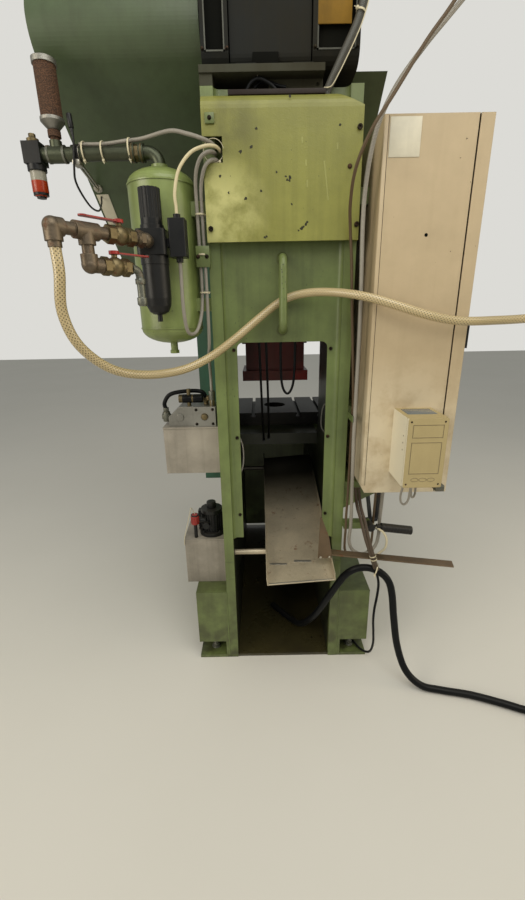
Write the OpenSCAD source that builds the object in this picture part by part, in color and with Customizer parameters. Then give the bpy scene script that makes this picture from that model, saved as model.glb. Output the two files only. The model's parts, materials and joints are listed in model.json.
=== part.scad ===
// Open-back mechanical stamping press, seen in use from its rear side.
// Millimetres, Z up. The rear of the press faces -Y, its operator side faces +Y.
// The origin lies on the floor, at the centre of the four anchor holes.

/* [Frame] */
// Width over the outer faces of the two side plates
frame_w = 504; // [460:2:560]
// Depth of the frame from its rear edge to its front edge
frame_d = 1260; // [1220:10:1340]
// Thickness of each side plate
plate_t = 40; // [30:1:48]
// Height of the bed, where the bolster plate rests
bed_top = 940; // [900:5:980]
// Height of the open throat between bed and crown
throat_h = 560; // [520:5:600]
// Depth of the throat, from the front edge
throat_d = 720; // [660:10:760]
// Radius of the throat's inner corners
throat_r = 90; // [40:5:140]
// Height of the frame at the rear
rear_top = 2210; // [2190:5:2240]
// Height of the crown over the crankshaft
crown_top = 2400; // [2380:5:2460]
// Thickness of the plate at the bottom, between the legs
base_t = 12; // [8:1:20]

/* [Rear wall] */
// Depth of the rear wall's face behind the rear edge
recess = 24; // [20:1:34]
// Thickness of the rear wall
wall_t = 12; // [8:1:20]
// Width of the strip of wall beside the opening
strip_w = 44; // [42:1:70]
// Height of the top edge of the opening
opening_top = 1446; // [1300:2:1460]
// Height of the lower end of the rear wall
wall_low = 630; // [620:2:660]
// Radius of the cove between wall and side plate
cove_r = 20; // [12:1:20]
// Diameter of the rod of the rear handle
handle_rod = 27; // [20:1:32]
// Height of the middle of the rear handle
handle_z = 1608; // [1590:2:1640]
// Length of the rear handle over its ends
handle_h = 264; // [180:2:290]
// Distance from the rear wall to the middle of the handle's rod
handle_out = 74; // [66:1:90]

/* [Feet] */
// Width of a foot, beside the side plate
foot_w = 138; // [110:2:150]
// Depth of a foot
foot_d = 300; // [240:5:320]
// Height of the rear feet
rear_foot_h = 364; // [300:2:380]
// Height of the front feet
front_foot_h = 200; // [160:5:300]
// Thickness of the foot's bottom flange
flange_t = 14; // [10:1:30]
// Diameter of an anchor hole
anchor_hole = 24; // [18:1:30]
// Distance of the anchor holes from the frame's end edges
anchor_in = 60; // [50:2:70]

/* [Bed and ram] */
// Width of the bolster plate
bolster_w = 680; // [600:10:740]
// Depth of the bolster plate
bolster_d = 440; // [400:10:500]
// Thickness of the bolster plate
bolster_t = 70; // [60:2:90]
// Diameter of the hole where parts drop through
drop_hole = 130; // [80:2:160]
// Width of a T-slot's neck
slot_neck = 18; // [14:1:22]
// Width of a gib, between side plate and ram
gib_w = 47; // [42:1:60]
// Depth of the ram
ram_d = 240; // [230:2:280]
// Height of the ram's lower face at the top of its stroke
ram_low = 1180; // [1150:5:1220]
// Height of the ram body
ram_h = 590; // [570:5:600]
// Diameter of the bore for a tool shank
shank_bore = 40; // [25:1:50]
// Depth of the gibs' slideway behind their lips
slide_in = 22; // [16:1:26]

/* [Crank drive] */
// Distance of the crankshaft from the middle of the frame, towards the front
crank_y = 330; // [320:2:340]
// Height of the crankshaft
crank_z = 2170; // [2160:2:2190]
// Stroke of the ram
stroke = 50; // [20:2:60]
// Diameter of the main journals
journal = 120; // [100:2:130]
// Diameter of the eccentric
eccentric = 190; // [186:2:200]
// Width of the connecting rod
rod_w = 120; // [90:2:130]
// Length of the connecting rod between its centres
rod_l = 560; // [555:1:570]
// Outer diameter of the flywheel
flywheel_dia = 700; // [640:5:720]
// Width of the flywheel's rim
flywheel_w = 110; // [90:2:120]
// Outer diameter of the motor pulley
pulley_dia = 160; // [130:2:170]
// Depth of a belt groove
groove_h = 16; // [14:1:20]
// Width of the running gap of shafts and slides
run_gap = 0.05; // [0.02:0.01:0.10]

/* [Guards and covers] */
// Width of the flywheel guard, beside the frame
guard_w = 528; // [500:2:560]
// Distance from the flywheel to its guard
guard_gap = 47; // [40:1:55]
// Thickness of the guard's sheet
guard_t = 3; // [2:0.5:5]
// Height of the lower edge of the rear cover
cover_low = 1774; // [1770:2:1800]
// Height of the upper edge of the rear cover
cover_top = 2187; // [2150:1:2190]
// Distance that the rear cover stands proud of the frame
cover_out = 30; // [20:1:36]
// Thickness of the rear cover's sheet
cover_t = 4; // [3:0.5:6]
// Width of the cover over the right end of the crankshaft
wing_w = 113; // [100:1:116]
// Distance of the side guards from the side plates
side_guard_out = 150; // [120:2:160]

/* [Motor] */
// Length of the motor
motor_l = 486; // [440:2:490]
// Width and height of the motor's square frame
motor_s = 320; // [280:2:330]
// Diameter of the motor's shaft
motor_shaft = 38; // [28:1:48]

/* [Electric cabinet] */
// Width of the cabinet's side, without its door
cabinet_w = 280; // [240:2:300]
// Depth of the cabinet along the press
cabinet_d = 528; // [460:2:530]
// Height of the cabinet
cabinet_h = 1206; // [1100:2:1210]
// Height of the cabinet's floor over the ground
cabinet_low = 887; // [880:1:900]
// Thickness of the cabinet's sheet
cabinet_t = 3; // [2:0.5:4]
// Distance of the cabinet from the side plate
cabinet_off = 42; // [36:1:60]
// Distance of the cabinet's rear face behind the frame's rear edge
cabinet_out = 100; // [94:1:110]
// Depth of the door's pan
door_t = 41.5; // [36:0.5:46]
// Width of the interface box
box_w = 132; // [110:1:140]
// Height of the interface box
box_h = 243; // [200:1:250]
// Depth of the interface box
box_d = 155; // [120:1:160]

/* [Air supply] */
// Diameter of the air receiver
receiver_dia = 222; // [180:2:226]
// Height of the air receiver over its domes
receiver_h = 561; // [480:1:564]
// Diameter of the header pipe
header_dia = 42; // [34:1:44]
// Diameter of the inlet pipe
inlet_dia = 34; // [27:1:36]
// Diameter of the filter's bowl
bowl_dia = 84; // [60:1:86]
// Diameter of the silencer
silencer_dia = 70; // [60:1:82]
// Diameter of the braided air hose
air_hose_dia = 28; // [20:1:28]
// Diameter of the black hose
black_hose_dia = 30; // [20:1:30]

/* [Oil units] */
// Width of the upper oil tank
upper_tank_w = 234; // [200:1:240]
// Height of the upper oil tank
upper_tank_h = 197; // [150:1:200]
// Width of the lower oil tank
lower_tank_w = 182; // [150:1:184]
// Height of the lower oil tank
lower_tank_h = 218; // [180:1:220]
// Depth of both oil tanks
tank_d = 200; // [170:1:210]

/* [Chute] */
// Width of the chute
chute_w = 276; // [220:1:280]
// Length of the chute
chute_l = 1000; // [900:5:1050]
// Height of the chute's flanges
chute_h = 40; // [30:1:42]
// Thickness of the chute's sheet
chute_t = 3; // [2:0.5:4]
// Slope of the chute in degrees
chute_slope = 11.3; // [9:0.1:11.5]
// Lean of the chute to its left side in degrees
chute_lean = 5; // [0:0.5:5.5]

/* [Hidden] */
$fn = 48;

// Clearances between pieces
seat = 0.3;

// Frame
rear_y = -frame_d / 2;
front_y = frame_d / 2;
side_x = frame_w / 2;
inner_x = side_x - plate_t;
throat_top = bed_top + throat_h;
throat_y = front_y - throat_d;
crown_rear_y = -40;
crown_slope_y = -150;
crown_chamfer = 90;
wall_y = rear_y + recess;
opening_w = 2 * (inner_x - strip_w);
anchor_x = side_x + foot_w / 2;
anchor_y = front_y - anchor_in;
pocket_h = 78;
pocket_in = 14;
pocket_d = 124;

// Ram and crank
throw = stroke / 2;
ram_w = 2 * (inner_x - gib_w);
ram_y = crank_y;
tongue_d = 100;
gib_lip = 40;
gib_low = throat_top;
gib_h = 420;
rod_z = crank_z + throw;
well_w = 150;
well_d = 196;
well_low = rod_z - rod_l - stroke - 60;
pin_r = 36;

// Belt drive
flywheel_x = -600;
groove_n = 3;
groove_top = 17;
groove_low = 11;
groove_step = 24;
motor_inset = 6;
motor_x = motor_inset - side_x;
motor_y = rear_y + 30 + motor_s / 2;
motor_base_t = 20;
motor_rail_h = 30;
motor_base_x = 130;
motor_z = rear_top + motor_rail_h + motor_base_t + motor_s / 2;
belt_t = 9;
belt_w = 10;
belt_gap = 0.4;
belt_r1 = flywheel_dia / 2 - groove_h + belt_gap + belt_t;
belt_r2 = pulley_dia / 2 - groove_h + belt_gap + belt_t;

// Cabinet
cab_x = side_x + cabinet_off;
cab_y = rear_y - cabinet_out;
cab_x1 = cab_x + cabinet_w;
cab_y1 = cab_y + cabinet_d;
cab_z1 = cabinet_low + cabinet_h;
door_gap = 3.5;
gland_x = [cab_x + 84, cab_x + 112];
gland_y = cab_y + 85;
gland_r = 10;
hinge_x = cab_x1 + 4;
hinge_y = cab_y1 + 11;
hinge_r = 8;
hinge_pin = 4;
hinge_z = [cabinet_low + 140, cab_z1 - 200];
hinge_h = 30;
latch_y = cab_y + 45;
latch_z = cabinet_low + cabinet_h / 2;
box_x = cab_x + 101;
box_z = cabinet_low + 87;

// Air supply
receiver_x = -side_x - 153;
receiver_y = rear_y + 55;
receiver_z = 1449;
header_z = receiver_z + receiver_h + 46;
header_bend = 36;
header_end = -784;
silencer_x = -738;
frl_x = -410;
frl_y = rear_y - 112;
frl_z = 1762;
frl_s = 90;
frl_h = 72;
run_angle = 233;
run_dir = [cos(run_angle), sin(run_angle), 0];
run_start = [frl_x + 10, frl_y - frl_s / 2, frl_z];
branch_z = frl_z - 82;
valve_at = 118;
tee_at = 222;
elbow_at = 312;
branch_valve_at = 78;
lever_lift = 34;

// Oil units
tank_y = rear_y + 100;
tank_x1 = -side_x - 4;
upper_tank_z = 903;
gasket_t = 6;
lower_tank_y = rear_y + 85;

// Chute
chute_x = inner_x - 7 - chute_w / 2;
chute_y = rear_y - 140;
chute_z = 512;

// Hand lever
lever_x = side_x + 108;
lever_y = rear_y - 30;
lever_z = 704;

function arc(y, z, r, from, to, n = 8) =
    [for (i = [0 : n]) let (a = from + (to - from) * i / n) [y + r * cos(a), z + r * sin(a)]];

// Outline of a band laid round two circles
function band(a, ra, b, rb, n = 20) =
    let (d = b - a, lean = atan2(d[1], d[0]), open = acos((ra - rb) / norm(d)))
    concat(arc(a[0], a[1], ra, lean + open, lean + 360 - open, n),
        arc(b[0], b[1], rb, lean - open, lean + open, n));

function rounded(w, h, r, n = 6) = concat(arc(w / 2 - r, h / 2 - r, r, 0, 90, n),
    arc(-w / 2 + r, h / 2 - r, r, 90, 180, n), arc(-w / 2 + r, -h / 2 + r, r, 180, 270, n),
    arc(w / 2 - r, -h / 2 + r, r, 270, 360, n));

// Smooth routes and the tubes along them
function unit(v) = v / norm(v);
function tangent(p, i) = unit(p[min(i + 1, len(p) - 1)] - p[max(i - 1, 0)]);
function across(v, t) = unit(v - (v * t) * t);
function first_side(t) = across(abs(t[2]) > 0.8 ? [1, 0, 0] : [0, 0, 1], t);
function next_side(p, n, i) = i < len(p) ? across(n, tangent(p, i)) : n;
function side_list(p) = [for (i = 0, n = first_side(tangent(p, 0)); i < len(p);
    n = next_side(p, n, i + 1), i = i + 1) n];
function spline(a, b, c, d, u) = 0.5 * (2 * b + (c - a) * u + (2 * a - 5 * b + 4 * c - d) * u * u
    + (3 * b - a - 3 * c + d) * u * u * u);
function smooth(p, k = 3) = concat([for (i = [0 : len(p) - 2]) for (j = [0 : k - 1])
    spline(p[max(i - 1, 0)], p[i], p[i + 1], p[min(i + 2, len(p) - 1)], j / k)], [p[len(p) - 1]]);

module tube(p, r, n = 8) {
    s = side_list(p);
    points = [for (i = [0 : len(p) - 1]) let (t = tangent(p, i), a = s[i], b = cross(t, a))
        for (k = [0 : n - 1]) p[i] + r * (cos(360 * k / n) * a + sin(360 * k / n) * b)];
    walls = [for (i = [0 : len(p) - 2]) for (k = [0 : n - 1])
        [i * n + k, (i + 1) * n + k, (i + 1) * n + (k + 1) % n, i * n + (k + 1) % n]];
    last = (len(p) - 1) * n;
    caps = [[for (k = [0 : n - 1]) k], [for (k = [n - 1 : -1 : 0]) last + k]];
    polyhedron(points, concat(walls, caps));
}

// Extrusions along X and along Y, and cylinders along each axis
module along_x(x, t) translate([x, 0, 0]) rotate([90, 0, 90]) linear_extrude(t) children();
module along_y(y, t) translate([0, y + t, 0]) rotate([90, 0, 0]) linear_extrude(t) children();
module rod_x(p, l, r) translate(p) rotate([0, 90, 0]) cylinder(h = l, r = r);
module rod_y(p, l, r) translate(p) rotate([-90, 0, 0]) cylinder(h = l, r = r);
module rod_z(p, l, r) translate(p) cylinder(h = l, r = r);
module block(a, b) translate(a) cube(b - a);
module both_sides() {
    children();
    mirror([1, 0, 0]) children();
}
module turned(p, angle) translate(p) rotate([0, 0, angle]) children();

// Frame
function side_outline() = concat(
    [[rear_y, 0], [front_y, 0], [front_y, bed_top]],
    arc(throat_y + throat_r, bed_top + throat_r, throat_r, 270, 180),
    arc(throat_y + throat_r, throat_top - throat_r, throat_r, 180, 90),
    [[front_y, throat_top], [front_y, crown_top - crown_chamfer], [front_y - crown_chamfer, crown_top],
        [crown_rear_y, crown_top], [crown_slope_y, rear_top], [rear_y, rear_top]]);

module side_plate() difference() {
    along_x(inner_x, plate_t) polygon(side_outline());
    rod_x([inner_x - 1, crank_y, crank_z], plate_t + 2, bush_r());
}
function bush_r() = journal / 2 + 15;

module side_plate_left() color("#5d8a4a") mirror([1, 0, 0]) side_plate();
module side_plate_right() color("#5d8a4a") side_plate();

function wall_outline() = concat(
    arc(-inner_x + cove_r, wall_y - cove_r, cove_r, 180, 90, 5),
    arc(inner_x - cove_r, wall_y - cove_r, cove_r, 90, 0, 5),
    [[inner_x, wall_y + wall_t], [-inner_x, wall_y + wall_t]]);
strip_x = (opening_w / 2 + inner_x - cove_r) / 2;
strip_holes = [740, 1080, 1420];
strip_hole_r = 5;
corner_r = 22;

module rear_wall() color("#5d8a4a") difference() {
    translate([0, 0, wall_low]) linear_extrude(rear_top - wall_low) polygon(wall_outline());
    along_y(wall_y - cove_r, cove_r + wall_t + 1) polygon(concat(
        [[-opening_w / 2, wall_low - 1], [opening_w / 2, wall_low - 1]],
        arc(opening_w / 2 - corner_r, opening_top - corner_r, corner_r, 0, 90, 5),
        arc(-opening_w / 2 + corner_r, opening_top - corner_r, corner_r, 90, 180, 5)));
    both_sides() for (z = strip_holes)
        rod_y([strip_x, wall_y - 1, z], wall_t + 2, strip_hole_r);
}

module base_plate() color("#6f7a3a")
    block([-inner_x, rear_y + 4, 0], [inner_x, front_y - 4, base_t]);

// One foot, for the right rear corner: a welded box with a pocket over its anchor hole
module foot(h) difference() {
    block([side_x, rear_y, 0], [side_x + foot_w, rear_y + foot_d, h]);
    block([side_x + pocket_in, rear_y - 1, flange_t],
        [side_x + foot_w + 1, rear_y + pocket_d, flange_t + pocket_h]);
    rod_z([anchor_x, -anchor_y, -1], flange_t + 2, anchor_hole / 2);
}
module feet() color("#5d8a4a") both_sides() {
    foot(rear_foot_h);
    mirror([0, 1, 0]) foot(front_foot_h);
}

// Bed and bolster
bed_t = 60;
apron_t = 30;
apron_low = 40;
bed_rear = throat_y + 20;
bed_hole = drop_hole + 50;
module bed() color("#4f7a45") difference() {
    union() {
        block([-inner_x, bed_rear, bed_top - bed_t], [inner_x, front_y, bed_top]);
        block([-inner_x, front_y - apron_t, apron_low], [inner_x, front_y, bed_top]);
    }
    translate([0, ram_y, bed_top - bed_t - 1]) cylinder(h = bed_t + 2, r = bed_hole / 2);
}

module t_slot() {
    depth = bolster_t * 0.34;
    polygon([[-slot_neck / 2, 1], [-slot_neck / 2, -depth + slot_neck * 0.6],
        [-slot_neck * 0.85, -depth + slot_neck * 0.6], [-slot_neck * 0.85, -depth],
        [slot_neck * 0.85, -depth], [slot_neck * 0.85, -depth + slot_neck * 0.6],
        [slot_neck / 2, -depth + slot_neck * 0.6], [slot_neck / 2, 1]]);
}
bolster_top = bed_top + bolster_t;
slot_x = [bolster_w * 0.19, bolster_w * 0.37];
module bolster_plate() color("#8b8d88") difference() {
    block([-bolster_w / 2, ram_y - bolster_d / 2, bed_top],
        [bolster_w / 2, ram_y + bolster_d / 2, bolster_top]);
    both_sides() for (x = slot_x) translate([x, 0, bolster_top])
        along_y(ram_y - bolster_d / 2 - 1, bolster_d + 2) t_slot();
    translate([0, ram_y, bed_top - 1]) cylinder(h = bolster_t + 2, r = drop_hole / 2);
}

// Crown
crown_plate_t = 20;
module crown_top_plate() color("#4f7a45") {
    block([-inner_x, crown_rear_y, crown_top - crown_plate_t],
        [inner_x, front_y - crown_chamfer, crown_top]);
    translate([0, 180, crown_top]) difference() {
        union() {
            cylinder(h = 14, r = 26);
            translate([0, 0, 14]) rotate([90, 0, 0]) rotate_extrude() translate([24, 0]) circle(7);
        }
        translate([0, 0, -20]) cylinder(h = 20, r = 60);
    }
}

front_cover_t = 10;
module crown_front_cover() color("#5d8a4a") along_y(front_y, front_cover_t) difference() {
    translate([0, (throat_top + crown_top - crown_chamfer) / 2])
        polygon(rounded(frame_w, crown_top - crown_chamfer - throat_top, 24));
    translate([0, crank_z - 330]) circle(r = 70);
}

module motor_base() color("#5d8a4a") {
    block([-side_x, rear_y - 6, rear_top + motor_rail_h],
        [motor_base_x, motor_y + motor_s / 2 + 30, rear_top + motor_rail_h + motor_base_t]);
    block([-side_x, rear_y, rear_top], [-inner_x, crown_slope_y - 20, rear_top + motor_rail_h]);
    difference() {
        block([-40, rear_y + 40, rear_top - 20], [motor_base_x, rear_y + 60, rear_top + motor_rail_h]);
        for (z = [rear_top - 4, rear_top + 16]) rod_y([motor_base_x - 16, rear_y + 39, z], 6, 5);
    }
}

// Rear cover, a folded sheet that stands proud of the frame
cover_bend = 46;
function cover_outline(t) = concat(
    [[rear_y + 1, cover_low - 1], [rear_y - cover_out + t, cover_low - 1]],
    arc(rear_y - cover_out + cover_bend, cover_top - cover_bend, cover_bend - t, 180, 100, 6),
    [[rear_y + 1, cover_top - t]]);
cutout_w = 64;
cutout_low = 2000;
cutout_h = 70;
module rear_cover() color("#8fa055") difference() {
    intersection() {
        along_x(-side_x + 2, frame_w - 4) polygon(cover_outline(0));
        block([-side_x, rear_y - 90, cover_low], [side_x, rear_y, cover_top + 1]);
    }
    along_x(-side_x + 2 + cover_t, frame_w - 4 - 2 * cover_t) polygon(cover_outline(cover_t));
    block([-side_x, rear_y - 90, cutout_low], [-side_x + cutout_w, rear_y + 2, cutout_low + cutout_h]);
    along_y(rear_y - 90, 100) {
        polygon([[-side_x - 1, cutout_low - 52], [-side_x + 18, cutout_low + 1],
            [-side_x - 1, cutout_low + 1]]);
        polygon([[side_x + 1, cover_top - 44], [side_x - 96, cover_top + 2], [side_x + 1, cover_top + 2]]);
    }
}

// Guard over the flywheel, the belts and the motor pulley
guard_r1 = flywheel_dia / 2 + guard_gap + guard_t;
guard_r2 = pulley_dia / 2 + 40;
crank_c = [crank_y, crank_z];
motor_c = [motor_y, motor_z];
module flywheel_guard() color("#2f5238") difference() {
    along_x(-side_x - guard_w, guard_w) polygon(band(crank_c, guard_r1, motor_c, guard_r2, 28));
    along_x(-side_x - guard_w + guard_t, guard_w - 2 * guard_t)
        polygon(band(crank_c, guard_r1 - guard_t, motor_c, guard_r2 - guard_t, 28));
    rod_x([-side_x - guard_t - 1, crank_y, crank_z], guard_t + 2, bush_r() + 30);
    rod_x([-side_x - guard_t - 1, motor_y, motor_z], guard_t + 2, motor_shaft / 2 + 24);
}

wing_top = crown_top - 85;
wing_low = crank_z - 308;
wing_cut = 40;
wing_front = front_y - 20;
function wing_outline(t) = [[rear_y + 172 + 3 * t, wing_top - t], [crank_y - 248 + 0.2 * t, wing_low + t],
    [wing_front - wing_cut - t, wing_low + t], [wing_front - t, wing_low + wing_cut + t],
    [wing_front - t, wing_top - t]];
module crank_wing_cover() color("#33573c") difference() {
    along_x(side_x, wing_w) polygon(wing_outline(0));
    along_x(side_x - 1, wing_w - guard_t + 1) polygon(wing_outline(guard_t));
}

guard_low_z = 670;
guard_high_z = crank_z - guard_r1 - 8;
side_guard_rear = -20;
module side_guards() color("#3f6f5c") both_sides() {
    translate([0, 0, guard_low_z]) linear_extrude(guard_high_z - guard_low_z) polygon([
        [side_x, side_guard_rear], [side_x + side_guard_out, side_guard_rear],
        [side_x + side_guard_out, ram_y + 90], [side_x + side_guard_out - guard_t, ram_y + 90],
        [side_x + side_guard_out - guard_t, side_guard_rear + guard_t],
        [side_x, side_guard_rear + guard_t]]);
}

// Slideway and crankshaft
ram_x = ram_w / 2;
way_x = ram_x + slide_in;
module ram_gibs() color("#77786f") both_sides() translate([0, 0, gib_low])
    linear_extrude(gib_h) polygon([
        [inner_x, ram_y - tongue_d / 2 - gib_lip], [inner_x, ram_y + tongue_d / 2 + gib_lip],
        [ram_x + 3, ram_y + tongue_d / 2 + gib_lip], [ram_x + 3, ram_y + tongue_d / 2 + run_gap],
        [way_x + run_gap, ram_y + tongue_d / 2 + run_gap],
        [way_x + run_gap, ram_y - tongue_d / 2 - run_gap],
        [ram_x + 3, ram_y - tongue_d / 2 - run_gap], [ram_x + 3, ram_y - tongue_d / 2 - gib_lip]]);

bush_flange = 12;
module crank_bushes() color("#b08a45") both_sides() difference() {
    union() {
        rod_x([inner_x, crank_y, crank_z], plate_t, bush_r() - run_gap);
        rod_x([side_x + run_gap, crank_y, crank_z], bush_flange, bush_r() + 18);
    }
    rod_x([inner_x - 1, crank_y, crank_z], plate_t + bush_flange + 3, journal / 2 + run_gap);
}

ecc_w = rod_w + 8;
shaft_left = flywheel_x - 60;
shaft_right = side_x + 60;
seat_r = journal / 2 - 5;
module crankshaft() color("#8d8f90") {
    rod_x([-inner_x + 2, crank_y, crank_z], 2 * inner_x - 4, journal / 2 + 8);
    rod_x([-side_x - 20, crank_y, crank_z], frame_w + 40, journal / 2);
    rod_x([shaft_left, crank_y, crank_z], -side_x - 10 - shaft_left, seat_r);
    rod_x([side_x + 10, crank_y, crank_z], shaft_right - side_x - 10, seat_r);
    rod_x([side_x + 28, crank_y, crank_z], 18, 90);
    rod_x([-ecc_w / 2, crank_y, rod_z], ecc_w, eccentric / 2);
}

clutch_x = flywheel_x + flywheel_w / 2 + 70;
module clutch_disc() color("#a3522c") difference() {
    union() {
        rod_x([clutch_x, crank_y, crank_z], 26, 190);
        rod_x([clutch_x + 26, crank_y, crank_z], 40, 130);
        for (i = [0 : 5]) rod_x([clutch_x + 60, crank_y + 100 * cos(60 * i),
            crank_z + 100 * sin(60 * i)], 14, 9);
    }
    rod_x([clutch_x - 1, crank_y, crank_z], 70, seat_r + seat);
}

rod_shank_w = 84;
module connecting_rod() color("#5f6266") difference() {
    union() {
        rod_x([-rod_w / 2, crank_y, rod_z], rod_w, eccentric / 2 + 34);
        along_x(-rod_shank_w / 2, rod_shank_w) translate([crank_y, rod_z]) polygon([[-70, -eccentric / 2],
            [70, -eccentric / 2], [pin_r - 6, -rod_l + 20], [-pin_r + 6, -rod_l + 20]]);
        rod_x([-rod_shank_w / 2, crank_y, rod_z - rod_l], rod_shank_w, pin_r);
    }
    rod_x([-rod_w / 2 - 1, crank_y, rod_z], rod_w + 2, eccentric / 2 + run_gap);
}

ram_foot_h = 56;
module ram() color("#a83228") difference() {
    union() {
        block([-ram_x, ram_y - ram_d / 2, ram_low], [ram_x, ram_y + ram_d / 2, ram_low + ram_h]);
        block([-ram_x - 20, ram_y - ram_d / 2 - 20, ram_low],
            [ram_x + 20, ram_y + ram_d / 2 + 20, ram_low + ram_foot_h]);
        block([-way_x, ram_y - tongue_d / 2, ram_low + 200], [way_x, ram_y + tongue_d / 2, ram_low + ram_h]);
    }
    block([-well_w / 2, ram_y - well_d / 2, well_low],
        [well_w / 2, ram_y + well_d / 2, ram_low + ram_h + 1]);
    translate([0, ram_y, ram_low - 1]) cylinder(h = 91, r = shank_bore / 2);
    both_sides() for (y = [-1, 1])
        translate([ram_x - 45, ram_y + y * 90, ram_low - 1]) cylinder(h = 41, r = 7);
}

// Flywheel and motor
function groove_x(i) = (i - (groove_n - 1) / 2) * groove_step;
module groove(r) rotate_extrude($fn = 96)
    polygon([[r + 1, -groove_top / 2 - 0.5], [r - groove_h, -groove_low / 2],
        [r - groove_h, groove_low / 2], [r + 1, groove_top / 2 + 0.5]]);
hub_r = 105;
module flywheel() color("#54575a") difference() {
    union() {
        rod_x([flywheel_x - flywheel_w / 2, crank_y, crank_z], flywheel_w, flywheel_dia / 2);
        rod_x([flywheel_x - flywheel_w / 2 - 20, crank_y, crank_z], flywheel_w + 60, hub_r);
    }
    for (s = [-1, 1]) difference() {
        rod_x([flywheel_x + s * (flywheel_w / 2 + 6) - 24, crank_y, crank_z], 48, flywheel_dia / 2 - 55);
        rod_x([flywheel_x - 120, crank_y, crank_z], 240, hub_r);
    }
    rod_x([flywheel_x - 200, crank_y, crank_z], 400, seat_r + run_gap);
    for (i = [0 : groove_n - 1]) translate([flywheel_x + groove_x(i), crank_y, crank_z])
        rotate([0, 90, 0]) groove(flywheel_dia / 2);
}

shield_l = 84;
foot_plate_t = 18;
module motor() color("#3b3f43") difference() {
    union() {
        along_x(motor_x + shield_l + 4, motor_l - 2 * shield_l - 8 - 60)
            translate([motor_y, motor_z]) polygon(rounded(motor_s - 24, motor_s - 24, 34));
        along_x(motor_x, shield_l)
            translate([motor_y, motor_z]) polygon(rounded(motor_s - 4, motor_s - 24, 46));
        along_x(motor_x + motor_l - shield_l - 60, shield_l + 60)
            translate([motor_y, motor_z]) polygon(rounded(motor_s - 4, motor_s - 24, 46));
        rod_x([motor_x + 20, motor_y, motor_z], motor_l - 40, motor_s / 2 - 34);
        for (x = [motor_x + shield_l + 22, motor_x + motor_l - shield_l - 120])
            block([x, motor_y - motor_s / 2, motor_z - motor_s / 2],
                [x + 62, motor_y + motor_s / 2, motor_z - motor_s / 2 + foot_plate_t]);
        block([motor_x + shield_l + 60, motor_y - 70, motor_z + motor_s / 2 - 14],
            [motor_x + shield_l + 220, motor_y + 70, motor_z + motor_s / 2 + 50]);
    }
    for (w = [[motor_x + shield_l / 2, shield_l - 26],
            [motor_x + motor_l - shield_l / 2 - 30, shield_l + 30]])
        translate([w[0], 0, motor_z + 8])
            along_y(motor_y - motor_s / 2 - 1, 16) polygon(rounded(w[1], motor_s - 84, 14));
    rod_x([motor_x - 1, motor_y, motor_z], 60, motor_shaft / 2 + run_gap);
}

module motor_pulley() color("#6a6d70") {
    rod_x([flywheel_x - 50, motor_y, motor_z], motor_x + 50 - flywheel_x + 50, motor_shaft / 2);
    difference() {
        rod_x([flywheel_x - 40, motor_y, motor_z], 80, pulley_dia / 2);
        for (i = [0 : groove_n - 1]) translate([flywheel_x + groove_x(i), motor_y, motor_z])
            rotate([0, 90, 0]) groove(pulley_dia / 2);
    }
}

module drive_belts() color("#24262a") for (i = [0 : groove_n - 1])
    along_x(flywheel_x + groove_x(i) - belt_w / 2, belt_w) difference() {
        polygon(band(crank_c, belt_r1, motor_c, belt_r2, 40));
        polygon(band(crank_c, belt_r1 - belt_t, motor_c, belt_r2 - belt_t, 40));
    }

// Rear handle: a bent rod with its ends on the rear wall
handle_bend = 34;
module handle_elbow() rotate([90, 0, 90]) rotate_extrude(angle = 90) translate([handle_bend, 0])
    circle(handle_rod / 2);
module rear_handle() color("#5d8a4a") {
    axis_y = wall_y - handle_out;
    half = handle_h / 2 - handle_rod / 2;
    rod_z([0, axis_y, handle_z - half + handle_bend], 2 * half - 2 * handle_bend, handle_rod / 2);
    for (s = [-1, 1]) translate([0, axis_y + handle_bend, handle_z + s * (half - handle_bend)])
        mirror([0, 0, s < 0 ? 1 : 0]) mirror([0, 1, 0]) handle_elbow();
    for (s = [-1, 1]) rod_y([0, axis_y + handle_bend, handle_z + s * half], handle_out - handle_bend,
        handle_rod / 2);
}

screw_r = 8;
module screw_head(r, h) difference() {
    cylinder(h = h, r = r);
    translate([0, 0, h / 2]) cylinder(h = h, r = r * 0.5, $fn = 6);
}
module frame_screws() color("#4a4238") {
    both_sides() for (z = strip_holes) translate([strip_x, wall_y - seat, z]) rotate([90, 0, 0])
        screw_head(6.5, 4);
    for (p = [[-side_x + 16, cover_low + 40], [side_x - 10, cover_low + 46], [side_x - 14, cover_top - 100]])
        translate([p[0], rear_y - cover_out - seat, p[1]]) rotate([90, 0, 0]) screw_head(screw_r, 6);
    both_sides() for (z = [throat_top + 60, crown_top - crown_chamfer - 60])
        translate([side_x - 30, front_y + front_cover_t + seat, z]) rotate([-90, 0, 0]) screw_head(12, 10);
}

// Chute, its supports and the flat bar bolted to it
module chute_frame() translate([chute_x, chute_y, chute_z])
    rotate([chute_slope, 0, 0]) rotate([0, -chute_lean, 0]) children();
support_r = 12;
lean_drop = chute_w / 2 * sin(chute_lean);
function support_z(y) = chute_z + (y - chute_y) * tan(chute_slope) - lean_drop / cos(chute_slope)
    - (support_r + seat) / cos(chute_slope);
module chute() color("#8d8577") {
    chute_frame() difference() {
        block([-chute_w / 2, 0, 0], [chute_w / 2, chute_l, chute_h]);
        block([-chute_w / 2 + chute_t, -1, chute_t], [chute_w / 2 - chute_t, chute_l + 1, chute_h + 1]);
    }
    for (y = [rear_y + 70, rear_y + 760]) rod_x([-inner_x, y, support_z(y)], 2 * inner_x, support_r);
}

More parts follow.
